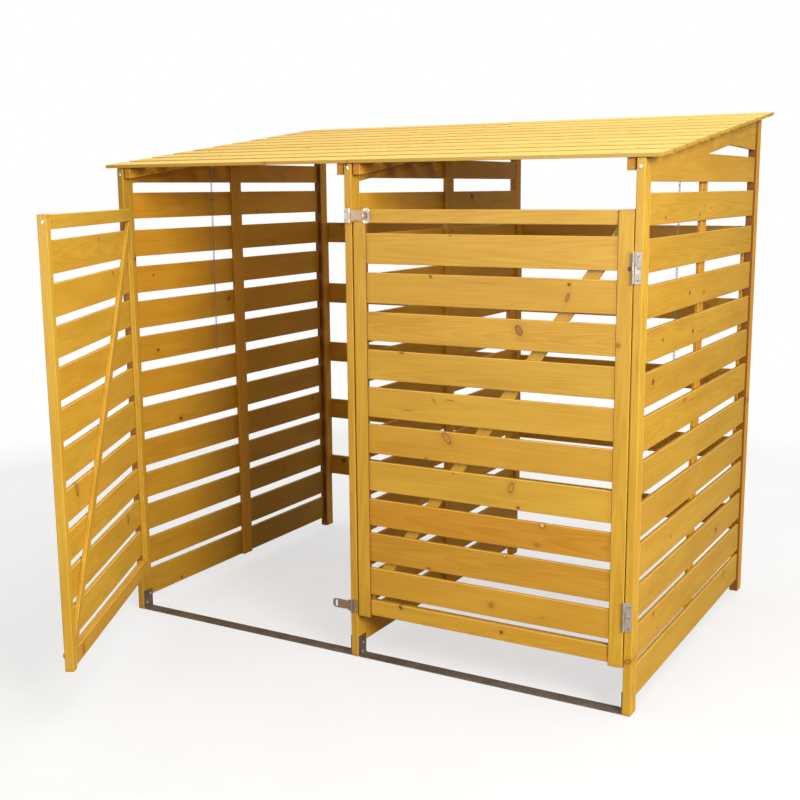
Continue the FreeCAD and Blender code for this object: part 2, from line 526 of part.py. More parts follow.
def link_shape():
    """One link about the origin: long axis Z, lying in the YZ plane."""
    half = LINK_PITCH / 2 + LINK_R - (LINK_W / 2 - LINK_R) + 0.05
    rr = LINK_W / 2 - LINK_R
    a1 = Part.Arc(V(0, -rr, half), V(0, 0, half + rr), V(0, rr, half)).toShape()
    l1 = Part.LineSegment(V(0, rr, half), V(0, rr, -half)).toShape()
    a2 = Part.Arc(V(0, rr, -half), V(0, 0, -half - rr), V(0, -rr, -half)).toShape()
    l2 = Part.LineSegment(V(0, -rr, -half), V(0, -rr, half)).toShape()
    path = Part.Wire([a1, l1, a2, l2])
    prof = Part.Wire([Part.Circle(V(0, -rr, 0), V(0, 0, 1), LINK_R).toShape()])
    mk = Part.BRepOffsetAPI.MakePipeShell(Part.Wire([l2, a1, l1, a2]))
    mk.add(Part.Wire([Part.Circle(V(0, -rr, -half), V(0, 0, 1), LINK_R).toShape()]))
    mk.build()
    mk.makeSolid()
    return mk.shape()


link0 = link_shape()
N_LINK = int(CHAIN_L / LINK_PITCH)
links_r = []
# the first link hangs on the ring: its top inner arc passes over the ring's lowest point
z_first = eye_bottom_z + (EYE_W + 0.15) + LINK_R - (LINK_PITCH / 2 + LINK_R + 0.05) - 0.0
for i in range(N_LINK):
    ln = link0.copy()
    if i % 2:
        ln.rotate(V(0, 0, 0), V(0, 0, 1), 90)
    ln.translate(V(CHAIN_X, CHAIN_Y, z_first - i * LINK_PITCH))
    links_r.append(ln)

# slat nails: two per slat on each bearer
nails_r = []
for i in range(SLAT_N):
    y0 = SLAT_Y0 + i * pitch
    for xb in (BEARER_IN + BEARER_W / 2, BEARER_OUT + BEARER_W / 2):
        for dy in (16.0, 48.0):
            y = y0 + dy
            if y > BEAR_Y1 - 4:
                continue
            base = V(xb, y, roof(y, SLAT_T / math.cos(slope_a) * 0 + SLAT_T))
            d = V(0, math.sin(slope_a), -math.cos(slope_a))
            head = Part.makeCylinder(2.2, 0.8, base, d)
            shk = Part.makeCylinder(1.0, 22.0, base, d)
            nails_r.append(one(head.fuse(shk)))

slats_cut = []
for i, s in enumerate(slats_r):
    near = [c for c in nails_r + lid_leaf_screws_r if c.BoundBox.intersect(s.BoundBox)]
    slats_cut.append(bore([s], near)[0] if near else s)
bearers_cut = []
for b in bearers_r:
    near = [c for c in nails_r if c.BoundBox.intersect(b.BoundBox)] + [shank]
    bearers_cut.append(bore([b], near)[0])

for nm, f in (("right", lambda s: s.copy()), ("left", mirror)):
    put(nm + "_lid_slats", *[f(s) for s in slats_cut])
    put(nm + "_lid_bearers", *[f(s) for s in bearers_cut])
    put(nm + "_lid_fixings", *[f(s) for s in nails_r + lid_leaf_screws_r])
    put(nm + "_lid_hinge_leaves", *[f(s) for s in lid_leaves_r])
    put(nm + "_chain_eye", f(eye_r))
    put(nm + "_chain", *[f(s) for s in links_r])

put("lid_hinge_rail_leaves", *(rail_leaves_r + [mirror(s) for s in rail_leaves_r]))
put("hinge_pins", *(lid_pins_r + [mirror(s) for s in lid_pins_r]))
rail_leaf_screws_all = rail_leaf_screws_r + [mirror(s) for s in rail_leaf_screws_r]
frame_screws["hinge_and_hasp_screws"] += rail_leaf_screws_all

# ---------------------------------------------------------------- bore the wood for the frame's screws
all_frame = [s for v in frame_screws.values() for s in v]
for name, p in posts.items():
    near = [c for c in all_frame if c.BoundBox.intersect(p.BoundBox)]
    put(name, *(bore([p], near) if near else [p]))
put("rear_top_rails", *bore(rear_rails, rail_leaf_screws_all))
for n, s in strap_shapes.items():
    put(n, *bore([s], strap_screw_at[n]))
for n, lst in frame_screws.items():
    put(n, *lst)

# ---------------------------------------------------------------- write one file per node
os.makedirs("parts", exist_ok=True)
total = 0
for name, shapes in nodes.items():
    out = []
    for s in shapes:
        s = s.copy()
        s.translate(V(0, FRONT_Y, 0))
        if not s.isValid() or s.Volume <= 0 or len(s.Solids) != 1:
            raise ValueError("bad solid in " + name + " volume %.3f solids %d valid %s" % (s.Volume, len(s.Solids), s.isValid()))
        out.append(s.Solids[0])
    total += len(out)
    shape = out[0] if len(out) == 1 else Part.makeCompound(out)
    shape.exportStep("parts/" + name + ".step")
print(len(nodes), "nodes,", total, "solids")
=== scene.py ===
import math
import random
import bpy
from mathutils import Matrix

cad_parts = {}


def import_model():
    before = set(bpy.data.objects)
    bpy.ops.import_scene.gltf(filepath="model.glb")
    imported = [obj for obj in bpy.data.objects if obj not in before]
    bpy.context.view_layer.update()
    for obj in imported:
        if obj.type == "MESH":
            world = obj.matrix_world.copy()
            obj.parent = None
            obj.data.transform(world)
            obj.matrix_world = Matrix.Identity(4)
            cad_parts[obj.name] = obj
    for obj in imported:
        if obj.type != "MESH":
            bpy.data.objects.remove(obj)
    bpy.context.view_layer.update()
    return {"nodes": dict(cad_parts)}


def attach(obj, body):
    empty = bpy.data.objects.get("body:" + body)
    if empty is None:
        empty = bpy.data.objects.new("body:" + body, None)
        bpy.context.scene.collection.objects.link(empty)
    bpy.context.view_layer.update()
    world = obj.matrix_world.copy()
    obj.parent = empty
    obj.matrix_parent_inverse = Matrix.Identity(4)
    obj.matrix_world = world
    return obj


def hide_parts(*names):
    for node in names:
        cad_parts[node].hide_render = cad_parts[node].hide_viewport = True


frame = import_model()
import zlib

import bmesh
import bpy
import numpy as np
from mathutils import Matrix, Vector, noise

NODES = frame["nodes"]

# ------------------------------------------------------------------ layout (mm; y = 0 at the posts' front faces)
FRONT_Y = -17.5
HALF_W, DEPTH, POST_W, POST_D, BOARD_T = 655.0, 890.0, 18.0, 35.0, 9.0
ROOF_Z0, ROOF_K = 1110.0, 0.1316
SLAT_T, SLAT_W, SLAT_N, SLAT_Y0, SLAT_Y1 = 8.0, 64.0, 11, -2.0, 887.0
LID_HALF, LID_SEAM = 688.0, 1.5
BEARER_W, BEARER_H, BEARER_IN, BEARER_OUT = 17.0, 25.0, 12.0, 617.0
RAIL_Z0, RAIL_Y0 = 1073.0, 38.0
DOOR_Z0, DOOR_Z1, DOOR_T = 100.0, 1014.0, 19.0
AXIS_X, AXIS_Y = 636.5, -2.8
LEFT_OPEN = 62.2
LID_AXIS_Y = 892.8
RIGHT_BOTTOM = (982.5, 892.6, 803.5, 718.0, 629.3, 541.7, 456.7, 368.5, 283.8, 201.7, 115.1, 33.7)
RIGHT_TOP = (1044.4, 957.7, 868.3, 782.3, 698.0, 610.5, 522.3, 438.3, 354.6, 268.8, 185.3, 103.1)
LEFT_BOTTOM = (988.7, 896.4, 806.5, 718.4, 632.4, 542.3, 454.0, 367.8, 284.6, 199.9, 109.0, 27.0)
LEFT_TOP = (1051.9, 961.1, 871.9, 785.5, 697.4, 609.1, 518.8, 433.7, 349.0, 265.6, 178.1, 94.7)
BOARD1_TOP = 1125.0
DOOR_BOARDS = ((897.9, 962.9), (813.7, 879.8), (732.4, 795.4), (648.0, 712.9), (564.5, 630.6),
               (482.9, 548.5), (398.3, 464.7), (317.7, 378.7), (235.1, 300.0), (156.8, 219.3))
BACK_TOPS = (956.0, 771.0, 588.0, 408.0, 227.0)
SLOPE = math.atan(ROOF_K)
LID_AXIS_Z = ROOF_Z0 + ROOF_K * LID_AXIS_Y - 2.45 / math.cos(SLOPE)


def roof(y, off=0.0):
    return ROOF_Z0 + ROOF_K * y + off


def rail_low(y):
    return RAIL_Z0 + ROOF_K * (y - RAIL_Y0)


def world(x, y, z):
    return (x * 0.001, (y + FRONT_Y) * 0.001, z * 0.001)


# ------------------------------------------------------------------ camera
cam_data = bpy.data.cameras.new("camera")
cam_data.sensor_fit = "HORIZONTAL"
cam_data.sensor_width = 36.0
cam_data.lens = 1164.61 / 800.0 * 36.0
cam_data.clip_start, cam_data.clip_end = 0.05, 60.0
yaw, pit, rol = math.radians(29.836), math.radians(10.271), math.radians(-0.4836)
fw = Vector((-math.sin(yaw) * math.cos(pit), math.cos(yaw) * math.cos(pit), -math.sin(pit)))
rt = Vector((math.cos(yaw), math.sin(yaw), 0.0))
up = rt.cross(fw)
r2 = rt * math.cos(rol) + up * math.sin(rol)
u2 = -rt * math.sin(rol) + up * math.cos(rol)
m3 = Matrix((r2, u2, -fw)).transposed()
camera = bpy.data.objects.new("camera", cam_data)
camera.matrix_world = Matrix.Translation(Vector(world(1351.92, -2139.27, 1055.19))) @ m3.to_4x4()
bpy.context.scene.collection.objects.link(camera)
bpy.context.scene.camera = camera


# ------------------------------------------------------------------ node helpers
class Tree:
    def __init__(self, mat):
        mat.use_nodes = True
        self.nt = mat.node_tree
        self.nt.nodes.clear()

    def node(self, kind, **kw):
        n = self.nt.nodes.new(kind)
        for k, v in kw.items():
            setattr(n, k, v)
        return n

    def link(self, a, b):
        self.nt.links.new(a, b)

    def put(self, sock, v):
        if isinstance(v, bpy.types.NodeSocket):
            self.link(v, sock)
        else:
            sock.default_value = v

    def math(self, op, a, b=0.0, c=0.0, clamp=False):
        n = self.node("ShaderNodeMath", operation=op, use_clamp=clamp)
        self.put(n.inputs[0], a)
        self.put(n.inputs[1], b)
        self.put(n.inputs[2], c)
        return n.outputs[0]

    def vmath(self, op, a, b=None):
        n = self.node("ShaderNodeVectorMath", operation=op)
        self.put(n.inputs[0], a)
        if b is not None:
            self.put(n.inputs[1], b)
        return n.outputs["Value"] if op in ("LENGTH", "DOT_PRODUCT", "DISTANCE") else n.outputs[0]

    def attr(self, name):
        n = self.node("ShaderNodeAttribute", attribute_name=name, attribute_type="GEOMETRY")
        return n

    def sep(self, v):
        n = self.node("ShaderNodeSeparateXYZ")
        self.put(n.inputs[0], v)
        return n.outputs[0], n.outputs[1], n.outputs[2]

    def comb(self, x, y, z):
        n = self.node("ShaderNodeCombineXYZ")
        for i, v in enumerate((x, y, z)):
            self.put(n.inputs[i], v)
        return n.outputs[0]

    def noise(self, vec, scale, detail=2.0, rough=0.5, distort=0.0):
        n = self.node("ShaderNodeTexNoise")
        self.put(n.inputs["Vector"], vec)
        n.inputs["Scale"].default_value = scale
        n.inputs["Detail"].default_value = detail
        n.inputs["Roughness"].default_value = rough
        n.inputs["Distortion"].default_value = distort
        return n.outputs["Fac"], n.outputs["Color"]

    def smooth(self, v, lo, hi, t0=0.0, t1=1.0):
        n = self.node("ShaderNodeMapRange", interpolation_type="SMOOTHSTEP", clamp=True)
        self.put(n.inputs[0], v)
        for i, x in zip((1, 2, 3, 4), (lo, hi, t0, t1)):
            self.put(n.inputs[i], x)
        return n.outputs[0]

    def linear(self, v, lo, hi, t0=0.0, t1=1.0):
        n = self.node("ShaderNodeMapRange", interpolation_type="LINEAR", clamp=True)
        self.put(n.inputs[0], v)
        for i, x in zip((1, 2, 3, 4), (lo, hi, t0, t1)):
            self.put(n.inputs[i], x)
        return n.outputs[0]

    def mix(self, fac, a, b, blend="MIX"):
        n = self.node("ShaderNodeMix", data_type="RGBA", blend_type=blend)
        n.clamp_factor = True
        self.put(n.inputs[0], fac)
        self.put(n.inputs[6], a)
        self.put(n.inputs[7], b)
        return n.outputs[2]

    def ramp(self, fac, stops):
        n = self.node("ShaderNodeValToRGB")
        cr = n.color_ramp
        cr.interpolation = "EASE"
        while len(cr.elements) < len(stops):
            cr.elements.new(0.5)
        for e, (p, c) in zip(cr.elements, stops):
            e.position = p
            e.color = c
        self.put(n.inputs[0], fac)
        return n.outputs[0]


def rgb(r, g, b):
    """sRGB 0..255 to linear RGBA"""
    def f(c):
        c /= 255.0
        return c / 12.92 if c <= 0.04045 else ((c + 0.055) / 1.055) ** 2.4
    return (f(r), f(g), f(b), 1.0)


# ------------------------------------------------------------------ stained softwood
def wood_material(name, light, mid, dark, orange, gloss, ring_strength=1.0, lit_top_colours=None, worn_lit_arris_mix=0.66, end_mix=0.46, figure=0.85,
                  end_stain_shade_mix=1.0):
    """Grain runs along the board's own length: attribute g holds (along, across, through) from the pith."""
    mat = bpy.data.materials.new(name)
    t = Tree(mat)
    g = t.attr("g").outputs["Vector"]
    gx, gy, gz = t.sep(g)
    tx, ty, tz = t.sep(t.attr("tone").outputs["Vector"])
    ex, ey, ez = t.sep(t.attr("e").outputs["Vector"])
    endf = t.attr("endf").outputs["Fac"]
    worn_lit_arris_fac = t.attr("worn_lit_arris").outputs["Fac"]
    painted_shade = t.attr("painted_shade").outputs["Fac"]

    # knots: k is (along, across, radius) from a knot's centre, s the same turned and drawn to its own shape, with how
    # dark its heart is (below zero: a resin bead whose pale centre is a painted highlight)
    push = None
    core_all = ring_all = halo_all = heart_all = resin_glint_all = None
    for kn, sn in (("k1", "s1"), ("k2", "s2"), ("k3", "s3")):
        kx, ky, kr = t.sep(t.attr(kn).outputs["Vector"])
        hx, hy, cs = t.sep(t.attr(sn).outputs["Vector"])
        wob, _ = t.noise(t.comb(t.math("MULTIPLY", kx, 170.0), t.math("MULTIPLY", ky, 190.0), kr), 1.0, 2.0, 0.6)
        d = t.math("DIVIDE", t.vmath("LENGTH", t.comb(hx, hy, 0.0)), kr)
        d = t.math("ADD", d, t.math("MULTIPLY_ADD", wob, 0.50, -0.25))
        disc = t.smooth(d, 1.04, 0.84)
        core = t.math("MULTIPLY", disc, t.math("MAXIMUM", cs, 0.0))
        resin_glint = t.math("MULTIPLY", t.smooth(d, 0.80, 0.50), t.math("MAXIMUM", t.math("MULTIPLY", cs, -1.0), 0.0))
        ring = t.math("MULTIPLY", t.smooth(d, 0.66, 0.94), t.smooth(d, 1.22, 1.0))
        halo = t.smooth(d, 3.4, 1.0)
        heart = t.math("MULTIPLY", t.smooth(d, 0.45, 0.12), t.math("MAXIMUM", cs, 0.0))
        a = t.math("DIVIDE", kx, t.math("MULTIPLY", kr, 2.7))
        bump = t.math("EXPONENT", t.math("MULTIPLY", t.math("MULTIPLY", a, a), -1.0))
        ay = t.math("ABSOLUTE", ky)
        side = t.math("DIVIDE", ky, t.math("ADD", ay, t.math("MULTIPLY", kr, 0.35)))
        fall = t.math("EXPONENT", t.math("MULTIPLY", t.math("DIVIDE", ay, t.math("MULTIPLY", kr, 2.4)), -1.0))
        p = t.math("MULTIPLY", t.math("MULTIPLY", side, bump), t.math("MULTIPLY", fall, t.math("MULTIPLY", kr, 1.7)))
        if push is None:
            push, core_all, ring_all, halo_all, heart_all, resin_glint_all = p, core, ring, halo, heart, resin_glint
        else:
            push = t.math("ADD", push, p)
            core_all = t.math("MAXIMUM", core_all, core)
            resin_glint_all = t.math("MAXIMUM", resin_glint_all, resin_glint)
            ring_all = t.math("MAXIMUM", ring_all, ring)
            halo_all = t.math("MAXIMUM", halo_all, halo)
            heart_all = t.math("MAXIMUM", heart_all, heart)
    gy2 = t.math("SUBTRACT", gy, push)

    # slow wander of the grain
    slow, slow_c = t.noise(t.comb(t.math("MULTIPLY", gx, 2.2), t.math("MULTIPLY", gy2, 9.0), t.math("MULTIPLY", gz, 9.0)), 1.0, 1.5, 0.5)
    sx, sy, sz = t.sep(slow_c)
    gy3 = t.math("MULTIPLY_ADD", sy, 0.016, gy2)
    gz3 = t.math("MULTIPLY_ADD", sz, 0.012, gz)
    rad = t.vmath("LENGTH", t.comb(0.0, gy3, gz3))
    rad = t.math("MULTIPLY_ADD", gx, 0.028, rad)
    ph = t.math("DIVIDE", rad, t.math("MULTIPLY_ADD", tz, 0.0022, 0.0030))
    jit, _ = t.noise(t.comb(t.math("MULTIPLY", gx, 5.0), 0.0, t.math("FLOOR", ph)), 1.0, 1.0)
    fr = t.math("FRACT", ph)
    late = t.math("MULTIPLY", t.smooth(fr, 0.25, 0.86), t.smooth(fr, 1.0, 0.92))
    late = t.math("MULTIPLY", late, t.linear(jit, 0.25, 0.75, 0.25, 1.0))

    # fibres, streaks and blotches, all drawn out along the grain
    fine, _ = t.noise(t.comb(t.math("MULTIPLY", gx, 14.0), t.math("MULTIPLY", gy3, 900.0), t.math("MULTIPLY", gz3, 900.0)), 1.0, 3.0, 0.6)
    mid_n, _ = t.noise(t.comb(t.math("MULTIPLY", gx, 5.5), t.math("MULTIPLY", gy3, 190.0), t.math("MULTIPLY", gz3, 190.0)), 1.0, 3.0, 0.55)
    blot, _ = t.noise(t.comb(t.math("MULTIPLY", gx, 4.2), t.math("MULTIPLY", gy2, 26.0), t.math("MULTIPLY", gz, 26.0)), 1.0, 3.0, 0.55)
    streak, _ = t.noise(t.comb(t.math("MULTIPLY", gx, 9.0), t.math("MULTIPLY", gy3, 260.0), t.math("MULTIPLY", gz3, 260.0)), 1.0, 1.0, 0.5)
    gate, _ = t.noise(t.comb(t.math("MULTIPLY", gx, 3.0), t.math("MULTIPLY", gy2, 22.0), t.math("MULTIPLY", gz, 22.0)), 1.0, 1.0, 0.5)
    fleck = t.math("MULTIPLY", t.smooth(streak, 0.60, 0.74), t.smooth(gate, 0.52, 0.68))

    f = t.math("MULTIPLY_ADD", late, 0.30 * ring_strength, 0.10)
    f = t.math("ADD", f, t.linear(mid_n, 0.2, 0.8, -0.14 * figure, 0.19 * figure))
    f = t.math("ADD", f, t.linear(fine, 0.2, 0.8, -0.11 * figure, 0.11 * figure))
    f = t.math("ADD", f, t.linear(blot, 0.25, 0.75, -0.15 * figure, 0.20 * figure))
    f = t.math("ADD", f, t.math("MULTIPLY", fleck, 0.40 * figure))
    f = t.math("ADD", f, t.math("MULTIPLY", halo_all, 0.20), clamp=True)
    col = t.ramp(f, [(0.0, light), (0.42, mid), (1.0, dark)])
    if lit_top_colours is not None:
        # painted light: the upper faces are painted paler, as if lit from above, and the edges and undersides darker,
        # as if in shade
        col = t.mix(t.attr("lit_top_face").outputs["Fac"], col, t.ramp(f, [(0.0, lit_top_colours[0]), (0.42, lit_top_colours[1]), (1.0, lit_top_colours[2])]))
    # board to board: some are deeper orange
    col = t.mix(t.math("MULTIPLY", t.linear(ty, 0.0, 1.0), 0.85), col, orange, "MULTIPLY")
    # knots
    kcol = t.mix(t.linear(core_all, 0.6, 0.88), rgb(136, 76, 44), rgb(92, 46, 14))
    col = t.mix(core_all, col, t.mix(t.linear(mid_n, 0.3, 0.7, 0.0, 0.4), kcol, rgb(96, 48, 20)))
    col = t.mix(t.math("MULTIPLY", ring_all, 0.74), col, rgb(94, 46, 16))
    col = t.mix(t.math("MULTIPLY", heart_all, 0.25), col, rgb(88, 42, 16))
    # painted highlight: the resin beads' centres are painted pale
    col = t.mix(resin_glint_all, col, rgb(226, 196, 136))
    # broken arrises hold less stain and are also painted lighter as a painted highlight; end grain drinks more stain;
    # the ends of each board are painted darker, partly stain and partly painted shade where they meet the next part
    col = t.mix(t.math("MULTIPLY", worn_lit_arris_fac, worn_lit_arris_mix), col, rgb(232, 198, 118))
    col = t.mix(t.math("MULTIPLY", endf, end_mix), col, t.mix(late, rgb(196, 128, 46), rgb(138, 78, 24)))
    # painted shade: faces flagged under the rear posts and in the stiles' rebates are painted dark brown
    col = t.mix(t.math("MULTIPLY", painted_shade, 0.86), col, rgb(112, 57, 18))
    # board ends are painted darker within 11 mm: partly stain taken up at the ends, partly painted shade where they
    # meet the next part
    near = t.math("MINIMUM", ex, ey)
    end_stain_shade = t.smooth(near, 0.011, 0.0)
    bn, _ = t.noise(g, 55.0, 2.0)
    end_stain_shade = t.math("MULTIPLY", end_stain_shade, t.linear(bn, 0.2, 0.8, 0.10 * end_stain_shade_mix, 0.42 * end_stain_shade_mix))
    col = t.mix(end_stain_shade, col, rgb(150, 88, 26))
    hsv = t.node("ShaderNodeHueSaturation")
    t.put(hsv.inputs["Color"], col)
    t.put(hsv.inputs["Value"], tx)
    bsdf = t.node("ShaderNodeBsdfPrincipled")
    t.link(hsv.outputs[0], bsdf.inputs["Base Color"])
    rough = t.math("ADD", t.linear(fine, 0.2, 0.8, gloss - 0.07, gloss + 0.09), t.math("MULTIPLY", late, -0.05))
    rough = t.math("ADD", rough, t.math("MULTIPLY", endf, 0.2))
    t.link(rough, bsdf.inputs["Roughness"])
    bsdf.inputs["Specular IOR Level"].default_value = 0.26
    h = t.math("MULTIPLY", late, 0.55)
    h = t.math("MULTIPLY_ADD", fine, 0.55, h)
    h = t.math("MULTIPLY_ADD", mid_n, 0.6, h)
    h = t.math("MULTIPLY_ADD", ring_all, -1.2, h)
    h = t.math("MULTIPLY_ADD", core_all, 0.5, h)
    b = t.node("ShaderNodeBump")
    b.inputs["Strength"].default_value = 0.5
    b.inputs["Distance"].default_value = 0.00035
    t.link(h, b.inputs["Height"])
    t.link(b.outputs[0], bsdf.inputs["Normal"])
    out = t.node("ShaderNodeOutputMaterial")
    t.link(bsdf.outputs[0], out.inputs[0])
    return mat


WOOD = wood_material("stained_softwood", rgb(195, 153, 48), rgb(181, 136, 33), rgb(132, 82, 14), (1.0, 0.76, 0.46, 1.0), 0.46, 0.72)
ROOF = wood_material("roof_softwood", rgb(178, 140, 54), rgb(166, 126, 40), rgb(124, 82, 20), (1.0, 0.88, 0.70, 1.0), 0.44, 0.34,
                     lit_top_colours=(rgb(214, 180, 90), rgb(207, 169, 72), rgb(178, 132, 50)), worn_lit_arris_mix=0.0, end_mix=0.0, figure=0.45, end_stain_shade_mix=0.2)


# ------------------------------------------------------------------ boards
class Piece:
    """All boards of one node as one mesh, with the grain attributes."""

    def __init__(self):
        self.v, self.f, self.face = [], [], {"endf": [], "lit_top_face": [], "worn_lit_arris": [], "painted_shade": []}
        self.att = {k: [] for k in ("g", "e", "tone", "k1", "k2", "k3", "s1", "s2", "s3")}

    def board(self, key, poly, r0, r1, to_xyz, grain="p", swap=False, rot=0.0, bev=1.0, seg=2, step=75.0,
              knots=(), tone=None, orange=None, wob=0.35, spare=0.55, quarter=None, roll=0.004, painted_shade=None, worn_lit_arris_amount=1.0):
        """Prism over poly (p, q) from r0 to r1; the grain runs along p (turned by rot) or along r."""
        rng = random.Random(zlib.crc32(key.encode()))
        bm = bmesh.new()
        lo = [bm.verts.new((p, q, r0)) for p, q in poly]
        hi = [bm.verts.new((p, q, r1)) for p, q in poly]
        n = len(poly)
        bm.faces.new(lo[::-1])
        bm.faces.new(hi)
        for i in range(n):
            j = (i + 1) % n
            bm.faces.new((lo[i], lo[j], hi[j], hi[i]))
        bmesh.ops.recalc_face_normals(bm, faces=bm.faces[:])
        bmesh.ops.bevel(bm, geom=bm.edges[:], offset=bev, segments=seg, profile=0.55, affect="EDGES", clamp_overlap=True)
        c, s = math.cos(rot), math.sin(rot)
        if grain == "p":
            ax_l, ax_w, ax_t = Vector((c, s, 0)), Vector((-s, c, 0)), Vector((0, 0, 1))
            if swap:
                ax_w, ax_t = Vector((0, 0, 1)), Vector((-s, c, 0))
        else:
            ax_l, ax_w, ax_t = Vector((0, 0, 1)), Vector((1, 0, 0)), Vector((0, 1, 0))
        co = [v.co.copy() for v in bm.verts]
        rng_of = lambda a: (min(x.dot(a) for x in co), max(x.dot(a) for x in co))
        (l0, l1), (w0, w1), (t0, t1) = rng_of(ax_l), rng_of(ax_w), rng_of(ax_t)
        k = max(1, int(round((l1 - l0) / step)))
        for i in range(1, k):
            bmesh.ops.bisect_plane(bm, geom=bm.verts[:] + bm.edges[:] + bm.faces[:],
                                   plane_co=ax_l * (l0 + (l1 - l0) * i / k), plane_no=ax_l)
        bm.normal_update()
        lm, wm, tm = (l0 + l1) / 2, (w0 + w1) / 2, (t0 + t1) / 2
        hw, ht = (w1 - w0) / 2, (t1 - t0) / 2
        # where the pith lay
        if quarter is None:
            quarter = rng.random() < 0.4
        if quarter:
            wc, tc = rng.choice((-1, 1)) * rng.uniform(60, 120), rng.uniform(-30, 30)
        else:
            wc, tc = rng.uniform(-0.5, 0.5) * hw, rng.choice((-1, 1)) * (ht + rng.uniform(6, 40))
        off = rng.uniform(-4.0, 4.0)
        tn = tone if tone is not None else rng.uniform(0.93, 1.05)
        orr = orange if orange is not None else (rng.uniform(0.0, 0.35) if rng.random() < 0.75 else rng.uniform(0.3, 0.6))
        wide = rng.uniform(-0.3, 0.9)
        # knots
        ks = []
        for kn in knots:
            kl, kw, kr, asp, turn, heart = tuple(kn) + (1.2, 0.0, 0.88)[len(kn) - 3:]
            p = Vector((kl, kw, 0)) if grain == "p" else Vector((kw, 0, kl))
            if grain == "p" and swap:
                p = Vector((kl, 0, kw))
            ks.append((p.dot(ax_l) - lm, p.dot(ax_w) - wm, kr, asp, turn, heart))
        while len(ks) < 3:
            if spare > 0 and rng.random() < spare * min(1.0, (l1 - l0) / 700.0):
                ks.append((rng.uniform(-0.46, 0.46) * (l1 - l0), rng.uniform(-0.8, 0.8) * hw, rng.choice((2.0, 2.4, 2.8, 3.4, 5.2)),
                           rng.uniform(1.0, 1.7), rng.uniform(0.0, 180.0), rng.choice((0.88, 0.88, 0.62, 0.15))))
            else:
                ks.append((5000.0, 5000.0, 1.0, 1.0, 0.0, 0.0))
        r1_, r2_ = rng.uniform(-roll, roll), rng.uniform(-roll, roll)
        sd = rng.uniform(0, 900)
        base = len(self.v)
        idx = {}
        pts = []
        for i, v in enumerate(bm.verts):
            idx[v] = base + i
            l, w, t = v.co.dot(ax_l) - lm, v.co.dot(ax_w) - wm, v.co.dot(ax_t) - tm
            self.att["g"].append((l * 0.001 + off, (w - wc) * 0.001, (t - tc) * 0.001))
            self.att["e"].append(((l + lm - l0) * 0.001, (l1 - lm - l) * 0.001, 0.0))
            self.att["tone"].append((tn, orr, wide))
            for i_, kk in enumerate(ks):
                dl, dw_ = (l - kk[0]) * 0.001, (w - kk[1]) * 0.001
                ca, sa = math.cos(math.radians(kk[4])), math.sin(math.radians(kk[4]))
                self.att["k%d" % (i_ + 1)].append((dl, dw_, kk[2] * 0.001))
                self.att["s%d" % (i_ + 1)].append(((dl * ca + dw_ * sa) / kk[3], dw_ * ca - dl * sa, kk[5]))
            # planed stock is never quite true: slow inward waves, and a little roll along the length
            a = l / 260.0
            fw_ = 0.5 + 0.5 * noise.noise(Vector((a + sd, 3.1, 0.0)))
            fb = 0.5 + 0.5 * noise.noise(Vector((a + sd, 9.7, 0.0)))
            ft = 0.5 + 0.5 * noise.noise(Vector((a + sd, 17.3, 0.0)))
            dw = -wob * fw_ * max(0.0, w / hw) + wob * fb * max(0.0, -w / hw) if hw > 0 else 0.0
            tilt = r1_ + (r2_ - r1_) * (l + lm - l0) / max(1.0, l1 - l0)
            sgn = 1.0 if t > 0 else -1.0
            dt = -sgn * wob * 0.45 * ft * abs(t) / max(ht, 0.1)
            dt += tilt * w - sgn * abs(tilt) * hw * 0.999
            q = v.co + ax_w * dw + ax_t * dt
            pts.append(q)
            self.v.append(world(*to_xyz(q.x, q.y, q.z)))
        # outward facing after the mapping
        o = Vector(to_xyz(0, 0, 0))
        jac = Matrix([Vector(to_xyz(1, 0, 0)) - o, Vector(to_xyz(0, 1, 0)) - o, Vector(to_xyz(0, 0, 1)) - o]).determinant()
        for fc in bm.faces:
            ids = [idx[v] for v in fc.verts]
            if jac < 0:
                ids.reverse()
            self.f.append(ids)
            nz = fc.normal
            self.face["endf"].append(1.0 if abs(nz.dot(ax_l)) > 0.72 else 0.0)
            # upward faces, which the roof paints as lit faces
            self.face["lit_top_face"].append(1.0 if nz.z > 0.8 else 0.0)
            # flag the faces that get painted shade
            self.face["painted_shade"].append(1.0 if painted_shade is not None and painted_shade(nz, fc.calc_center_median()) else 0.0)
            # bevel faces take the arris colour: worn edges plus a painted highlight
            self.face["worn_lit_arris"].append(worn_lit_arris_amount if max(abs(nz.dot(ax_l)), abs(nz.dot(ax_w)), abs(nz.dot(ax_t))) < 0.97 else 0.0)
        bm.free()

    def make(self, name, body, node, slot, mat):
        me = bpy.data.meshes.new(name)
        me.from_pydata(self.v, [], self.f)
        me.update()
        for k, vals in self.att.items():
            a = me.attributes.new(k, "FLOAT_VECTOR", "POINT")
            a.data.foreach_set("vector", np.array(vals, np.float32).ravel())
        for k, vals in self.face.items():
            a = me.attributes.new(k, "FLOAT", "FACE")
            a.data.foreach_set("value", np.array(vals, np.float32))
        me.materials.append(mat)
        finish_mesh(me)
        ob = bpy.data.objects.new(name, me)
        bpy.context.scene.collection.objects.link(ob)
        if isinstance(node, str):
            node = (node,)
        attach(ob, body)
        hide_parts(*node)
        return ob


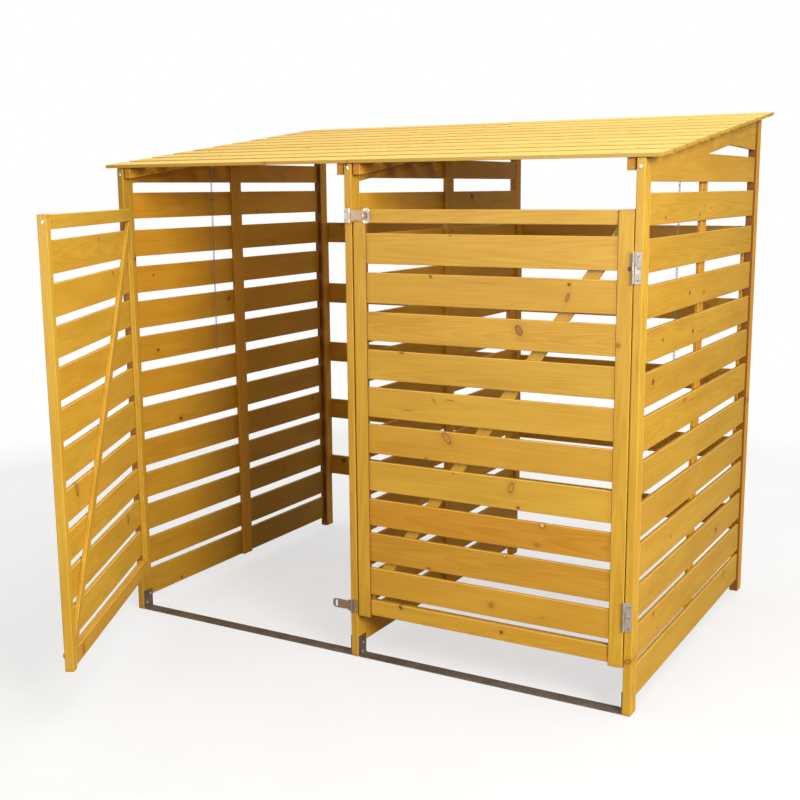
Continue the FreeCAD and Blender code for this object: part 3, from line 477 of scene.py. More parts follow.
def finish_mesh(me, limit=None):
    """Smooth shading with area weighted normals, so that big faces stay flat and their bevels turn the light."""
    nv, nf = len(me.vertices), len(me.polygons)
    me.polygons.foreach_set("use_smooth", np.ones(nf, bool))
    nrm = np.zeros(nf * 3); me.polygons.foreach_get("normal", nrm); nrm = nrm.reshape(-1, 3)
    area = np.zeros(nf); me.polygons.foreach_get("area", area)
    nl = len(me.loops)
    lv = np.zeros(nl, np.int32); me.loops.foreach_get("vertex_index", lv)
    tot = np.zeros(nf, np.int32); me.polygons.foreach_get("loop_total", tot)
    fi = np.repeat(np.arange(nf), tot)
    if limit is None:
        acc = np.zeros((nv, 3))
        np.add.at(acc, lv, nrm[fi] * area[fi][:, None])
        acc /= np.maximum(np.linalg.norm(acc, axis=1), 1e-12)[:, None]
        me.normals_split_custom_set_from_vertices(acc.tolist())
    else:
        # per corner: average only with faces whose normal is within the limit
        order = np.argsort(lv, kind="stable")
        start = np.searchsorted(lv[order], np.arange(nv + 1))
        out = np.zeros((nl, 3))
        cl = math.cos(limit)
        for v in range(nv):
            ls = order[start[v]:start[v + 1]]
            nn = nrm[fi[ls]]
            ok = (nn @ nn.T) > cl
            out[ls] = (ok * area[fi[ls]][None, :]) @ nn
        out /= np.maximum(np.linalg.norm(out, axis=1), 1e-12)[:, None]
        me.normals_split_custom_set(out.tolist())
    me.update()


def rect(p0, p1, q0, q1):
    return [(p0, q0), (p1, q0), (p1, q1), (p0, q1)]


# posts: p = z, q = y, r = x
zyx = lambda p, q, r: (r, q, p)


def post_poly(y0, y1):
    return [(0.0, y0), (roof(y0, -0.5), y0), (roof(y1, -0.5), y1), (0.0, y1)]


# the left post is painted darker and more orange than the others: painted shade for the light falling off towards the
# left
for nm, x0, x1, kn in (("front_left_post", -655, -637, []), ("front_middle_post", -9, 9, [(1114.0, 17.0, 3.0)]), ("front_right_post", 637, 655, [])):
    p = Piece()
    p.board(nm, post_poly(0, POST_D), x0, x1, zyx, bev=2.0, seg=3, swap=True, worn_lit_arris_amount=0.15,
            tone={"front_left_post": 0.81, "front_middle_post": 0.97}.get(nm, 1.02), orange={"front_left_post": 0.55, "front_middle_post": 0.22}.get(nm, 0.05),
            knots=[kn_ for kn_ in {"front_right_post": [(117.0, 647.0, 4.6, 1.7, 60.0, 0.34)], "front_middle_post": [(1108.0, -3.0, 3.2)],
                                             "front_left_post": []}[nm]], spare=0.2)
    p.make(nm + "_wood", "frame", nm, "stained_wood", WOOD)

# the rear posts are painted a deeper orange, standing in for warm bounced light in the shade at the back of the bay
p = Piece()
p.board("rear_middle_post", post_poly(855, 890), -9, 9, zyx, bev=1.8, seg=3, tone=1.05, orange=1.0)
p.make("rear_middle_post_wood", "frame", "rear_middle_post", "stained_wood", WOOD)
for sx, nm in ((-1, "rear_left_post"), (1, "rear_right_post")):
    h2 = roof(872.5, -0.5)
    poly = [(0, 637 * sx), (0, 659 * sx), (h2, 659 * sx), (h2, 637 * sx)]
    lift = lambda p_, q_, r_: (q_, r_, p_ + (ROOF_K * (r_ - 872.5) if p_ > 1150 else 0.0))
    p = Piece()
    # downward faces painted dark brown: painted shade under the post
    p.board(nm, poly, 855, 890, lift, bev=1.8, seg=3, tone=1.02, orange=0.7, worn_lit_arris_amount=0.3, painted_shade=lambda n_, c_: n_.z < -0.6)
    p.make(nm + "_wood", "frame", nm, "stained_wood", WOOD)

# slatted sides and divider: p = y, q = z, r = x
yzx = lambda p, q, r: (r, p, q)
Y_IN0, Y_IN1 = POST_D, DEPTH - POST_D
YE = Y_IN1 - 3.0
SIDE_KNOTS = {("right_side", 4): [(355.5, 746.8, 4.6), (140.6, 752.1, 3.0)], ("right_side", 3): [(431.8, 825.3, 3.0), (321.7, 831.9, 3.6)],
              ("right_side", 1): [(462.7, 1008.1, 2.6), (134.5, 994.6, 2.8), (376.7, 994.9, 2.6)], ("right_side", 2): [(670.6, 917.8, 2.2)],
              ("left_side", 3): [(103.4, 847.4, 2.4)], ("left_side", 5): [(108.8, 656.5, 3.4)], ("left_side", 7): [(184.8, 465.5, 4.6)],
              ("left_side", 12): [(160.9, 36.5, 3.0)]}


def side(name, x0, x1, tops, bottoms, b1, wedge):
    p = Piece()
    y_meet = RAIL_Y0 + (BOARD1_TOP - RAIL_Z0) / ROOF_K
    pts = [(Y_IN0, b1), (YE, b1), (YE, BOARD1_TOP), (y_meet, BOARD1_TOP), (Y_IN0, max(rail_low(Y_IN0), b1))]
    if rail_low(Y_IN0) <= b1 + 0.5:
        pts = [(RAIL_Y0 + (b1 - RAIL_Z0) / ROOF_K, b1), (YE, b1), (YE, BOARD1_TOP), (y_meet, BOARD1_TOP)]
    # the divider is painted a deeper orange, standing in for warm bounced light in the shade inside the bay
    deeper = {"divider": (1.0, 0.7), "right_side": (0.92, 0.24)}
    if name == "left_side":
        # painted light and shade: the upper boards are painted lighter and redder and the lower ones darker, standing
        # in for the light falling off into the bay
        pick = lambda i_: (1.07 - 0.028 * i_ + 0.02 * math.sin(2.3 * i_), 0.95 - 0.038 * i_ + 0.06 * math.sin(2.3 * i_ + 1.7))
    else:
        pick = lambda i_: tuple(a_ + c_ * math.sin(2.3 * i_ + b_) for a_, b_, c_ in zip(deeper[name], (0.0, 1.7), (0.03, 0.08)))
    tn, orr = pick(0)
    p.board(name + "0", pts, x0, x1, yzx, bev=0.8, tone=tn, orange=orr, spare=0.0, worn_lit_arris_amount=0.2)
    for i, (b, t) in enumerate(zip(bottoms, tops)):
        tn, orr = pick(i + 1)
        p.board("%s%d" % (name, i + 1), rect(Y_IN0, YE, b, t), x0, x1, yzx, bev=1.3, seg=3, knots=SIDE_KNOTS.get((name, i + 1), ()),
                spare=0.35 if (name, i + 1) not in SIDE_KNOTS else 0.1, tone=tn, orange=orr)
    tn, orr = pick(0)
    if wedge:
        p.board(name + "w", [(618.0, 1148.0), (YE, 1142.0), (YE, rail_low(YE)), (618.0, rail_low(618.0))], x0, x1, yzx, bev=0.7, tone=tn, orange=orr, spare=0.0, worn_lit_arris_amount=0.2)
    p.make(name + "_boards_wood", "frame", name + "_boards", "stained_wood", WOOD)
    p = Piece()
    for i, (a, b) in enumerate(((Y_IN0, 465.6), (466.4, Y_IN1))):
        p.board("%sr%d" % (name, i), [(a, rail_low(a)), (b, rail_low(b)), (b, roof(b, -0.5)), (a, roof(a, -0.5))], x0, x1, yzx,
                rot=SLOPE, bev=0.7, spare=0.0, tone=tn, orange=orr, worn_lit_arris_amount=0.2)
    p.make(name + "_top_rails_wood", "frame", name + "_top_rails", "stained_wood", WOOD)


side("left_side", -655, -646, LEFT_TOP, LEFT_BOTTOM, 1075.7, True)
side("right_side", 646, 655, RIGHT_TOP, RIGHT_BOTTOM, 1064.9, True)
side("divider", 0, 9, [0.5 * (a + b) for a, b in zip(LEFT_TOP, RIGHT_TOP)], [0.5 * (a + b) for a, b in zip(LEFT_BOTTOM, RIGHT_BOTTOM)], 1079.0, False)

# the battens are painted a deeper orange, standing in for warm bounced light in the shade inside the bay
for nm, x0, x1, z0, below in (("left_side_batten", -646, -637, 27.0, 0.5), ("right_side_batten", 637, 646, 33.7, 0.5), ("divider_batten", 9, 18, 30.4, 26.5)):
    p = Piece()
    p.board(nm, [(z0, 423), (roof(423, -below), 423), (roof(463, -below), 463), (z0, 463)], x0, x1, zyx, bev=1.2, seg=3, tone=1.0, orange=0.9)
    p.make(nm + "_wood", "frame", nm, "stained_wood", WOOD)

# back: the back boards, end battens and rear top rails are painted a deeper orange, standing in for warm bounced light
# in the shade of the bay
xzy = lambda p, q, r: (p, r, q)
for nm, a, b in (("left_back_boards", -637, -9), ("right_back_boards", 9, 637)):
    p = Piece()
    for i, t in enumerate(BACK_TOPS):
        p.board("%s%d" % (nm, i), rect(a, b, t - 60.0, t), 881, 890, xzy, bev=1.3, seg=3, tone=1.0, orange=0.65)
    p.make(nm + "_wood", "frame", nm, "stained_wood", WOOD)
p = Piece()
for i, (a, b) in enumerate(((-637, -628), (-18, -9), (9, 18), (628, 637))):
    p.board("eb%d" % i, rect(167.0, 956.0, 855, 881), a, b, zyx, bev=1.0, tone=1.0, orange=0.9)
p.make("back_end_battens_wood", "frame", "back_end_battens", "stained_wood", WOOD)
p = Piece()
for i, (a, b) in enumerate(((-637, -9), (9, 637))):
    p.board("rr%d" % i, [(872, 1172.0), (890, 1172.0), (890, roof(890, -1.9)), (872, roof(872, -1.9))], a, b,
            lambda p_, q_, r_: (r_, p_, q_), grain="r", bev=1.2, tone=1.2, orange=1.0)
p.make("rear_top_rails_wood", "frame", "rear_top_rails", "stained_wood", WOOD)

# roof lids: p = x, q = y, r above the roof plane
pitch = (SLAT_Y1 - SLAT_Y0 - SLAT_W) / (SLAT_N - 1)
on_roof = lambda p, q, r: (p, q, roof(q, r))
ROOF_KNOTS = {("right", 9): [(519.0, 745.5, 4.4)], ("left", 0): [(-166.2, 40.0, 3.4)], ("left", 10): [(-47.0, 858.0, 3.2)], ("left", 9): [(-43.4, 770.0, 3.0)],
              ("left", 1): [(-488.7, 110.8, 3.0)]}
for sd_, sg in (("left", -1), ("right", 1)):
    p = Piece()
    for i in range(SLAT_N):
        y0 = SLAT_Y0 + i * pitch
        a, b = sorted((sg * LID_SEAM, sg * LID_HALF))
        p.board("%sslat%d" % (sd_, i), rect(a, b, y0, y0 + SLAT_W), 0.0, SLAT_T, on_roof, bev=0.7, seg=3, knots=ROOF_KNOTS.get((sd_, i), ()), spare=0.4)
    p.make(sd_ + "_lid_slats_wood", sd_ + "_lid", sd_ + "_lid_slats", "roof_wood", ROOF)
    p = Piece()
    for j, (a, b) in enumerate(((BEARER_IN, BEARER_IN + BEARER_W), (BEARER_OUT, BEARER_OUT + BEARER_W))):
        a, b = sorted((sg * a, sg * b))
        p.board("%sbear%d" % (sd_, j), rect(4.0, 846.0, -BEARER_H, 0.0), a, b, lambda p_, q_, r_: (r_, p_, roof(p_, q_)), bev=1.0, tone=1.06, orange=0.6)
    p.make(sd_ + "_lid_bearers_wood", sd_ + "_lid", sd_ + "_lid_bearers", "stained_wood", WOOD)

# doors, drawn as the closed right-hand one: s from the hinge axis, d from the outer face, z up
TH = math.radians(LEFT_OPEN)


def place_right(s, d, z):
    return (AXIS_X - s, d, z)


def place_left(s, d, z):
    rx, ry = s, d - AXIS_Y
    return (-AXIS_X + rx * math.cos(TH) + ry * math.sin(TH), AXIS_Y - rx * math.sin(TH) + ry * math.cos(TH), z)


# (along from the hinge axis, height, half width, length to width, turn in degrees, how dark the heart is)
DOOR_KNOTS = {
    ("right", 0): [(390.6, 960.2, 1.5, 1.5, 40.0, 0.62)],
    ("right", 1): [(132.1, 843.5, 3.5, 2.3, 112.0, 0.55), (129.4, 868.8, 3.1, 1.1, 20.0, 0.88), (436.2, 876.0, 2.6, 1.4, 60.0, 0.80)],
    ("right", 2): [(235.2, 772.9, 7.0, 1.5, 58.0, 0.62)],
    ("right", 3): [(507.1, 710.6, 2.2, 2.2, 0.0, 0.85)],
    ("right", 4): [(428.9, 612.9, 1.7, 3.0, 60.0, 0.30), (390.8, 617.1, 1.2, 7.0, 2.0, 0.50), (492.3, 586.9, 1.4, 6.0, -4.0, 0.30)],
    ("right", 5): [(399.2, 535.1, 6.6, 2.1, 50.0, 0.12), (448.8, 485.6, 2.2, 1.4, 0.0, 0.62)],
    ("right", 6): [(249.1, 445.0, 5.6, 2.0, 106.0, 0.10), (232.9, 404.4, 3.1, 1.05, 0.0, 0.88), (382.6, 460.2, 1.4, 1.3, 90.0, 0.85)],
    ("right", 7): [(179.0, 374.4, 5.4, 1.1, 0.0, -0.75), (189.5, 331.3, 3.2, 1.5, 0.0, 0.30)],
    ("right", 8): [(262.6, 296.6, 3.6, 1.1, 0.0, -0.75), (443.8, 240.4, 2.6, 1.4, 0.0, 0.62)],
    ("right", 9): [(293.1, 182.3, 5.0, 1.05, 0.0, 0.30), (176.2, 175.6, 1.2, 3.0, 0.0, 0.60)],
    ("left", 0): [(258.7, 951.4, 3.0, 1.3, 30.0, 0.60)], ("left", 1): [(162.5, 871.1, 3.2, 2.0, 20.0, 0.40)],
    ("left", 6): [(510.1, 452.0, 7.5, 2.2, 70.0, 0.34)], ("left", 8): [(141.0, 281.0, 5.2, 2.2, 84.0, 0.34)]}
# tone and orange of each right door board; the lower boards 7 and 8 are painted darker and more orange: painted shade
# where the light falls off towards the bottom
DOOR_TONE = {("right", 7): (0.94, 1.0), ("right", 8): (0.91, 0.62), ("right", 9): (0.98, 0.42), ("right", 5): (0.99, 0.34), ("right", 2): (1.0, 0.24),
             ("right", 0): (1.01, 0.18), ("right", 1): (0.98, 0.26), ("right", 3): (0.975, 0.05), ("right", 4): (1.01, 0.08), ("right", 6): (1.02, 0.0)}
S0, S1 = 0.5, 624.5
RAILS = ((106.5, 141.9), (984.6, 1013.2))
up_e = lambda s: 983.0 - 1.4380 * (s - 35.6)
lo_e = lambda s: 906.1 - 1.4277 * (s - 54.8)
s_up = 35.6 + (983.0 - RAILS[1][0]) / 1.4380
s_lo = 54.8 + (906.1 - RAILS[0][1]) / 1.4277
for sd_, place in (("left", place_left), ("right", place_right)):
    body = sd_ + "_door"
    szd = lambda p, q, r, f=place: f(p, r, q)
    p = Piece()
    for j, (a, sg) in enumerate(((S0 + 0.35, 1), (S1, -1))):
        a0 = S0 if sg > 0 else S1
        pts = [(a, 0.0), (a0 + sg * 32.0, 0.0), (a0 + sg * 32.0, 9.5), (a0 + sg * 22.0, 9.5), (a0 + sg * 22.0, 19.0), (a, 19.0)]
        kn = [(902.3, 7.3, 3.8, 1.1, 0.0, 0.88), (755.1, 26.8, 3.6, 1.1, 0.0, 0.55)] if (sd_, j) == ("right", 0) else []
        # the stile faces that meet the board ends are painted dark brown: painted shade in the recess, seen through the
        # gaps
        p.board("%sstile%d" % (sd_, j), pts, DOOR_Z0, DOOR_Z1, lambda p_, q_, r_, f=place: f(p_, q_, r_), grain="r", bev=1.9, seg=3,
                knots=kn, spare=0.0, tone=1.06 if (sd_, j) == ("left", 1) else 1.02, orange=0.0 if (sd_, j) == ("left", 1) else 0.07, roll=0.0025, worn_lit_arris_amount=0.35, painted_shade=lambda n_, c_, g_=sg: n_.x * g_ > 0.6 and c_.y < 9.5)
    p.make(sd_ + "_door_stiles_wood", body, sd_ + "_door_stiles", "stained_wood", WOOD)
    p = Piece()
    for j, (za, zb) in enumerate(RAILS):
        # drawn in (s, d) with the tongues behind the stiles' rebates
        pts = [(32.5, 2.5), (592.5, 2.5), (592.5, 9.5), (602.5, 9.5), (602.5, 19.0), (22.5, 19.0), (22.5, 9.5), (32.5, 9.5)]
        p.board("%srail%d" % (sd_, j), pts, za, zb, lambda p_, q_, r_, f=place: f(p_, q_, r_), swap=True, bev=1.3, seg=3,
                knots=[(555.9, 121.6, 6.4, 1.3, 90.0, 0.40)] if (sd_, j) == ("left", 0) else (), spare=0.25 if sd_ == "right" else 0.0, tone=1.0)
    p.make(sd_ + "_door_rails_wood", body, sd_ + "_door_rails", "stained_wood", WOOD)
    p = Piece()
    for i, (za, zb) in enumerate(DOOR_BOARDS):
        tn, orr = DOOR_TONE.get((sd_, i), (None, None))
        # the left door's boards are painted lighter (tone about 1.06): painted light standing in for the lamp on its
        # inner face
        p.board("%sdb%d" % (sd_, i), rect(32.5, 592.5, za, zb), 0.6, 9.5, szd, bev=1.4, seg=3, knots=DOOR_KNOTS.get((sd_, i), ()),
                spare=0.0 if sd_ == "right" else 0.12, tone=tn if tn is not None else 1.06 + 0.03 * math.sin(2.1 * i), orange=orr)
    p.make(sd_ + "_door_boards_wood", body, sd_ + "_door_boards", "stained_wood", WOOD)
    p = Piece()
    pts = [(s_up, RAILS[1][0]), (22.5, RAILS[1][0]), (22.5, lo_e(22.5)), (s_lo, RAILS[0][1]), (602.5, RAILS[0][1]), (602.5, up_e(602.5))]
    p.board(sd_ + "brace", pts, 9.5, 18.5, szd, rot=math.atan(-1.433), bev=1.2, seg=3, spare=0.3, tone=0.97, orange=0.12, worn_lit_arris_amount=0.4)
    p.make(sd_ + "_door_brace_wood", body, sd_ + "_door_brace", "stained_wood", WOOD)


# ------------------------------------------------------------------ metals
def metal_material(name, base, dark, rough, scale=1.0, metallic=1.0, grime=None, grime_amount=0.3, bump=0.25):
    mat = bpy.data.materials.new(name)
    t = Tree(mat)
    tc = t.node("ShaderNodeTexCoord").outputs["Object"]
    big, _ = t.noise(tc, 60.0 * scale, 4.0, 0.6)
    small, _ = t.noise(tc, 900.0 * scale, 3.0, 0.6)
    vor = t.node("ShaderNodeTexVoronoi", feature="F1")
    t.put(vor.inputs["Vector"], tc)
    vor.inputs["Scale"].default_value = 420.0 * scale
    spangle = t.linear(vor.outputs["Distance"], 0.0, 0.9, 0.0, 1.0)
    f = t.math("ADD", t.linear(big, 0.3, 0.7, 0.0, 0.55), t.linear(small, 0.3, 0.7, 0.0, 0.3))
    f = t.math("MULTIPLY_ADD", spangle, 0.25, f, clamp=True)
    col = t.mix(f, base, dark)
    if grime is not None:
        gn, _ = t.noise(tc, 17.0, 5.0, 0.65)
        col = t.mix(t.linear(gn, 0.42, 0.66, 0.0, grime_amount), col, grime)
    bsdf = t.node("ShaderNodeBsdfPrincipled")
    t.link(col, bsdf.inputs["Base Color"])
    bsdf.inputs["Metallic"].default_value = metallic
    r = t.math("ADD", t.linear(big, 0.3, 0.7, rough - 0.08, rough + 0.1), t.linear(small, 0.3, 0.7, -0.05, 0.07))
    t.link(r, bsdf.inputs["Roughness"])
    b = t.node("ShaderNodeBump")
    b.inputs["Strength"].default_value = bump
    b.inputs["Distance"].default_value = 0.0002
    t.link(t.math("ADD", small, t.math("MULTIPLY", big, 0.6)), b.inputs["Height"])
    t.link(b.outputs[0], bsdf.inputs["Normal"])
    out = t.node("ShaderNodeOutputMaterial")
    t.link(bsdf.outputs[0], out.inputs[0])
    return mat


ZINC = metal_material("zinc_plate", rgb(206, 197, 189), rgb(160, 150, 142), 0.36, metallic=0.75)
ZINC_WARM = metal_material("zinc_plate_warm", rgb(196, 174, 150), rgb(146, 124, 102), 0.36, metallic=0.8, grime=rgb(112, 88, 64), grime_amount=0.35)
ZINC_LEAF = metal_material("zinc_leaf", rgb(182, 171, 161), rgb(146, 136, 128), 0.46, metallic=0.4)
BRASSY = metal_material("zinc_passivated", rgb(186, 166, 138), rgb(146, 128, 102), 0.36, metallic=0.8, grime=rgb(112, 88, 60), grime_amount=0.35)
BRIGHT = metal_material("zinc_bright", rgb(228, 221, 214), rgb(176, 166, 158), 0.3, metallic=0.75)
SCREW_DULL = metal_material("screw_zinc", rgb(176, 178, 174), rgb(118, 116, 112), 0.42, scale=1.6, metallic=0.7)
SCREW = metal_material("screw_steel", rgb(216, 213, 208), rgb(166, 162, 156), 0.32, scale=1.6, metallic=0.65)
CHAIN = metal_material("chain_steel", rgb(170, 163, 153), rgb(108, 101, 94), 0.36, scale=1.3, metallic=0.65)
STRAP = metal_material("floor_strap_steel", rgb(150, 138, 122), rgb(104, 94, 82), 0.52, scale=0.5, metallic=0.75, grime=rgb(92, 74, 54), grime_amount=0.7, bump=0.4)


def metal_piece(node, body, mat, bev=0.25, ang=28.0, seg=2, name=None):
    """The node's own shape with its edges broken, as pressed or drawn metal has them."""
    me = NODES[node].data.copy()
    me.name = (name or node + "_metal")
    for a in list(me.attributes):
        if a.name.startswith("custom_normal"):
            me.attributes.remove(a)
    bm = bmesh.new()
    bm.from_mesh(me)
    bmesh.ops.remove_doubles(bm, verts=bm.verts[:], dist=2e-6)
    bmesh.ops.dissolve_limit(bm, angle_limit=math.radians(0.6), verts=bm.verts[:], edges=bm.edges[:])
    bm.normal_update()
    sharp = [e for e in bm.edges if len(e.link_faces) == 2 and e.calc_face_angle(0.0) > math.radians(ang)]
    if bev > 0 and sharp:
        bmesh.ops.bevel(bm, geom=sharp, offset=bev * 0.001, segments=seg, profile=0.6, affect="EDGES", clamp_overlap=True)
    bmesh.ops.triangulate(bm, faces=[f for f in bm.faces if len(f.verts) > 4])
    bm.to_mesh(me)
    bm.free()
    me.materials.clear()
    me.materials.append(mat)
    for pl in me.polygons:
        pl.material_index = 0
    finish_mesh(me, limit=math.radians(44.0))
    ob = bpy.data.objects.new(name or node + "_metal", me)
    bpy.context.scene.collection.objects.link(ob)
    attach(ob, body)
    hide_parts(node)
    return ob


for nd, body, mat, bev in (
        ("door_hinge_post_leaves", "frame", ZINC_LEAF, 0.3), ("hinge_pins", "frame", BRIGHT, 0.4), ("lid_hinge_rail_leaves", "frame", ZINC, 0.3),
        ("left_lid_hinge_leaves", "left_lid", ZINC, 0.3), ("right_lid_hinge_leaves", "right_lid", ZINC, 0.3),
        ("left_door_hinge_leaves", "left_door", ZINC, 0.3), ("right_door_hinge_leaves", "right_door", ZINC, 0.3),
        ("upper_hasp_plate", "frame", ZINC, 0.3), ("lower_hasp_plate", "frame", ZINC_WARM, 0.3),
        ("upper_hasp_strap", "upper_hasp", BRASSY, 0.35), ("lower_hasp_strap", "lower_hasp", ZINC_WARM, 0.35),
        ("upper_turn_staple", "upper_staple", BRIGHT, 0.4), ("lower_turn_staple", "lower_staple", ZINC, 0.4),
        ("left_chain_eye", "left_lid", ZINC, 0.0), ("right_chain_eye", "right_lid", ZINC, 0.0)):
    metal_piece(nd, body, mat, bev)
for nd in ("left_floor_strap", "right_floor_strap"):
    metal_piece(nd, "frame", STRAP, 0.45)


# ------------------------------------------------------------------ small parts made from rings of points
class Rings:
    def __init__(self):
        self.v, self.f = [], []

    def frame_at(self, p, d):
        """p is a point (layout mm), d the direction the head looks towards."""
        d = Vector(d).normalized()
        a = Vector((0, 0, 1)) if abs(d.z) < 0.9 else Vector((1, 0, 0))
        u = a.cross(d).normalized()
        w = d.cross(u)
        return Vector(p), u, w, d

    def lathe(self, p, d, prof, n=24, turn=0.0):
        """Closed solid of revolution; prof is (radius, height along d), first and last on the axis."""
        o, u, w, d = self.frame_at(p, d)
        rings = []
        for r, h in prof:
            if r <= 1e-6:
                self.v.append(o + d * h)
                rings.append([len(self.v) - 1])
            else:
                row = []
                for i in range(n):
                    a = 2 * math.pi * i / n + turn
                    self.v.append(o + u * (r * math.cos(a)) + w * (r * math.sin(a)) + d * h)
                    row.append(len(self.v) - 1)
                rings.append(row)
        for a, b in zip(rings, rings[1:]):
            if len(a) == 1 and len(b) == 1:
                continue
            for i in range(n):
                j = (i + 1) % n
                if len(a) == 1:
                    self.f.append((a[0], b[i], b[j]))
                elif len(b) == 1:
                    self.f.append((a[i], b[0], a[j]))
                else:
                    self.f.append((a[i], b[i], b[j], a[j]))

    def screw(self, p, d, r=3.0, proud=0.4, turn=0.0, shank=1.5, length=14.0, arm=0.62, washer=0.0):
        """Cross-recessed head seen from d; the shank goes the other way."""
        o, u, w, d = self.frame_at(p, d)
        n = 40
        if washer > 0:
            self.lathe(p, d, [(0, 0.0), (washer, 0.0), (washer, 0.5), (washer - 0.35, 0.85), (r * 0.9, 0.95), (0, 0.95)], 32)
            o = o + d * 0.9
        rr = [0.0, 0.16, 0.3, 0.44, 0.55, 0.64, 0.72, 0.8, 0.9, 1.0]
        half = 0.13
        rows = []
        for q in rr:
            row = []
            for i in range(n if q > 0 else 1):
                a = 2 * math.pi * i / n
                x, y = q * math.cos(a), q * math.sin(a)
                dome = proud * (1.0 - 0.75 * q * q)
                # depth of the recess: two crossing wedges that run out towards the rim
                dx = min(abs(x), abs(y))
                ar = max(abs(x), abs(y))
                wd = half * (1.15 - 0.55 * ar / arm)
                inside = max(0.0, min(1.0, (wd - dx) / 0.05)) * max(0.0, min(1.0, (arm - ar) / 0.1))
                core = max(0.0, min(1.0, (0.26 - q) / 0.1))
                depth = max(inside, core) * r * (0.42 - 0.25 * ar / arm)
                ct, st = math.cos(turn), math.sin(turn)
                X, Y = x * ct - y * st, x * st + y * ct
                self.v.append(o + u * (X * r) + w * (Y * r) + d * (dome - depth))
                row.append(len(self.v) - 1)
            rows.append(row)
        # rim, cone and shank
        for rad, h in ((r, -0.15), (shank + 0.1, -(r - shank)), (shank, -(r - shank) - 0.4), (shank, -length + 3), (0.2, -length)):
            row = []
            for i in range(n):
                a = 2 * math.pi * i / n + turn
                self.v.append(o + u * (rad * math.cos(a)) + w * (rad * math.sin(a)) + d * h)
                row.append(len(self.v) - 1)
            rows.append(row)
        self.v.append(o - d * (length + 0.2))
        rows.append([len(self.v) - 1])
        for a, b in zip(rows, rows[1:]):
            for i in range(n):
                j = (i + 1) % n
                if len(a) == 1:
                    self.f.append((a[0], b[i], b[j]))
                elif len(b) == 1:
                    self.f.append((a[i], b[0], a[j]))
                else:
                    self.f.append((a[i], b[i], b[j], a[j]))

    def nail(self, p, d, r=2.2):
        self.lathe(p, d, [(0, 0.12), (r * 0.55, 0.16), (r * 0.9, 0.1), (r, -0.05), (r, -0.5), (1.0, -0.9), (1.0, -19.0), (0, -22.0)], 20)

    def tube(self, pts, r, n=8, closed=True, normals=None):
        """Tube about a closed planar path; normals is the plane's normal."""
        m = len(pts)
        rows = []
        for i, p in enumerate(pts):
            a, b = pts[(i - 1) % m], pts[(i + 1) % m]
            tdir = (b - a).normalized()
            s = normals.cross(tdir).normalized()
            row = []
            for k in range(n):
                q = 2 * math.pi * k / n
                self.v.append(p + s * (r * math.cos(q)) + normals * (r * math.sin(q)))
                row.append(len(self.v) - 1)
            rows.append(row)
        for i in range(m):
            a, b = rows[i], rows[(i + 1) % m]
            for k in range(n):
                j = (k + 1) % n
                self.f.append((a[k], a[j], b[j], b[k]))

    def make(self, name, body, nodes, slot, mat, limit=50.0):
        bm = bmesh.new()
        vs = [bm.verts.new(world(*p)) for p in self.v]
        for f in self.f:
            try:
                bm.faces.new([vs[i] for i in f])
            except ValueError:
                pass
        bmesh.ops.recalc_face_normals(bm, faces=bm.faces[:])
        me = bpy.data.meshes.new(name)
        bm.to_mesh(me)
        bm.free()
        me.materials.append(mat)
        finish_mesh(me, limit=math.radians(limit))
        ob = bpy.data.objects.new(name, me)
        bpy.context.scene.collection.objects.link(ob)
        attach(ob, body)
        if nodes:
            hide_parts(*nodes)
        return ob


rs = random.Random(77)
spin = lambda: rs.uniform(0, math.pi / 2)

# washer-headed screws near the tops of the front posts
R = Rings()
for x, z in ((-646.0, 1094.0), (0.0, 1100.0), (646.0, 1093.0)):
    R.screw((x, 0.0, z), (0, -1, 0), r=2.6, proud=0.5, turn=spin(), shank=1.8, length=28.0, washer=4.0)
R.make("post_face_screws_detail", "frame", ("post_face_screws",), "zinc_steel", SCREW)

# floor strap screws
R = Rings()
for left in (True, False):
    a, b = (-637.0, -9.0) if left else (9.0, 637.0)
    for x, dx in ((a + 2.5, -1), (b - 2.5, 1)):
        for y, z in ((24.0, 36.0), (11.0, 16.0)):
            if abs(x) < 100 and not left:
                z -= 7.0
                y = y - 4.0 if y > 15 else y + 4.0
            R.screw((x, y, z), (-dx, 0, 0), r=3.6, proud=0.5, turn=spin(), shank=1.7, length=14.0)
R.make("strap_screws_detail", "frame", ("strap_screws",), "zinc_steel", SCREW)

# screws of the hinge leaves on the posts and rails, and of the hasp plates
R = Rings()
for z0 in (180.0, 874.0):
    for dz in (8.0, 30.0, 52.0):
        for sg in (1, -1):
            R.screw((sg * (AXIS_X + 9.8), -1.2, z0 + dz), (0, -1, 0), r=3.0, proud=0.45, turn=spin(), length=17.0)
for x0 in (120.0, 500.0):
    for dx in (9.0, 32.0, 55.0):
        for sg in (1, -1):
            R.screw((sg * (x0 + dx), DEPTH + 1.2, LID_AXIS_Z - 12.5), (0, 1, 0), r=3.0, proud=0.45, turn=spin(), length=14.0)
for zc, sg in ((1000.0, 1), (121.5, -1)):
    for dz in (-9.0, 9.0):
        R.screw((sg * (5.0 - 9.5), -1.5, zc + dz), (0, -1, 0), r=2.6, proud=0.4, turn=spin(), shank=1.4, length=13.0)
R.make("hinge_and_hasp_screws_detail", "frame", ("hinge_and_hasp_screws",), "zinc_steel", SCREW_DULL)


# door screws and staple plates
def door_vec(place, ds, dd):
    a = Vector(place(0, 0, 0))
    return Vector(place(ds, dd, 0)) - a


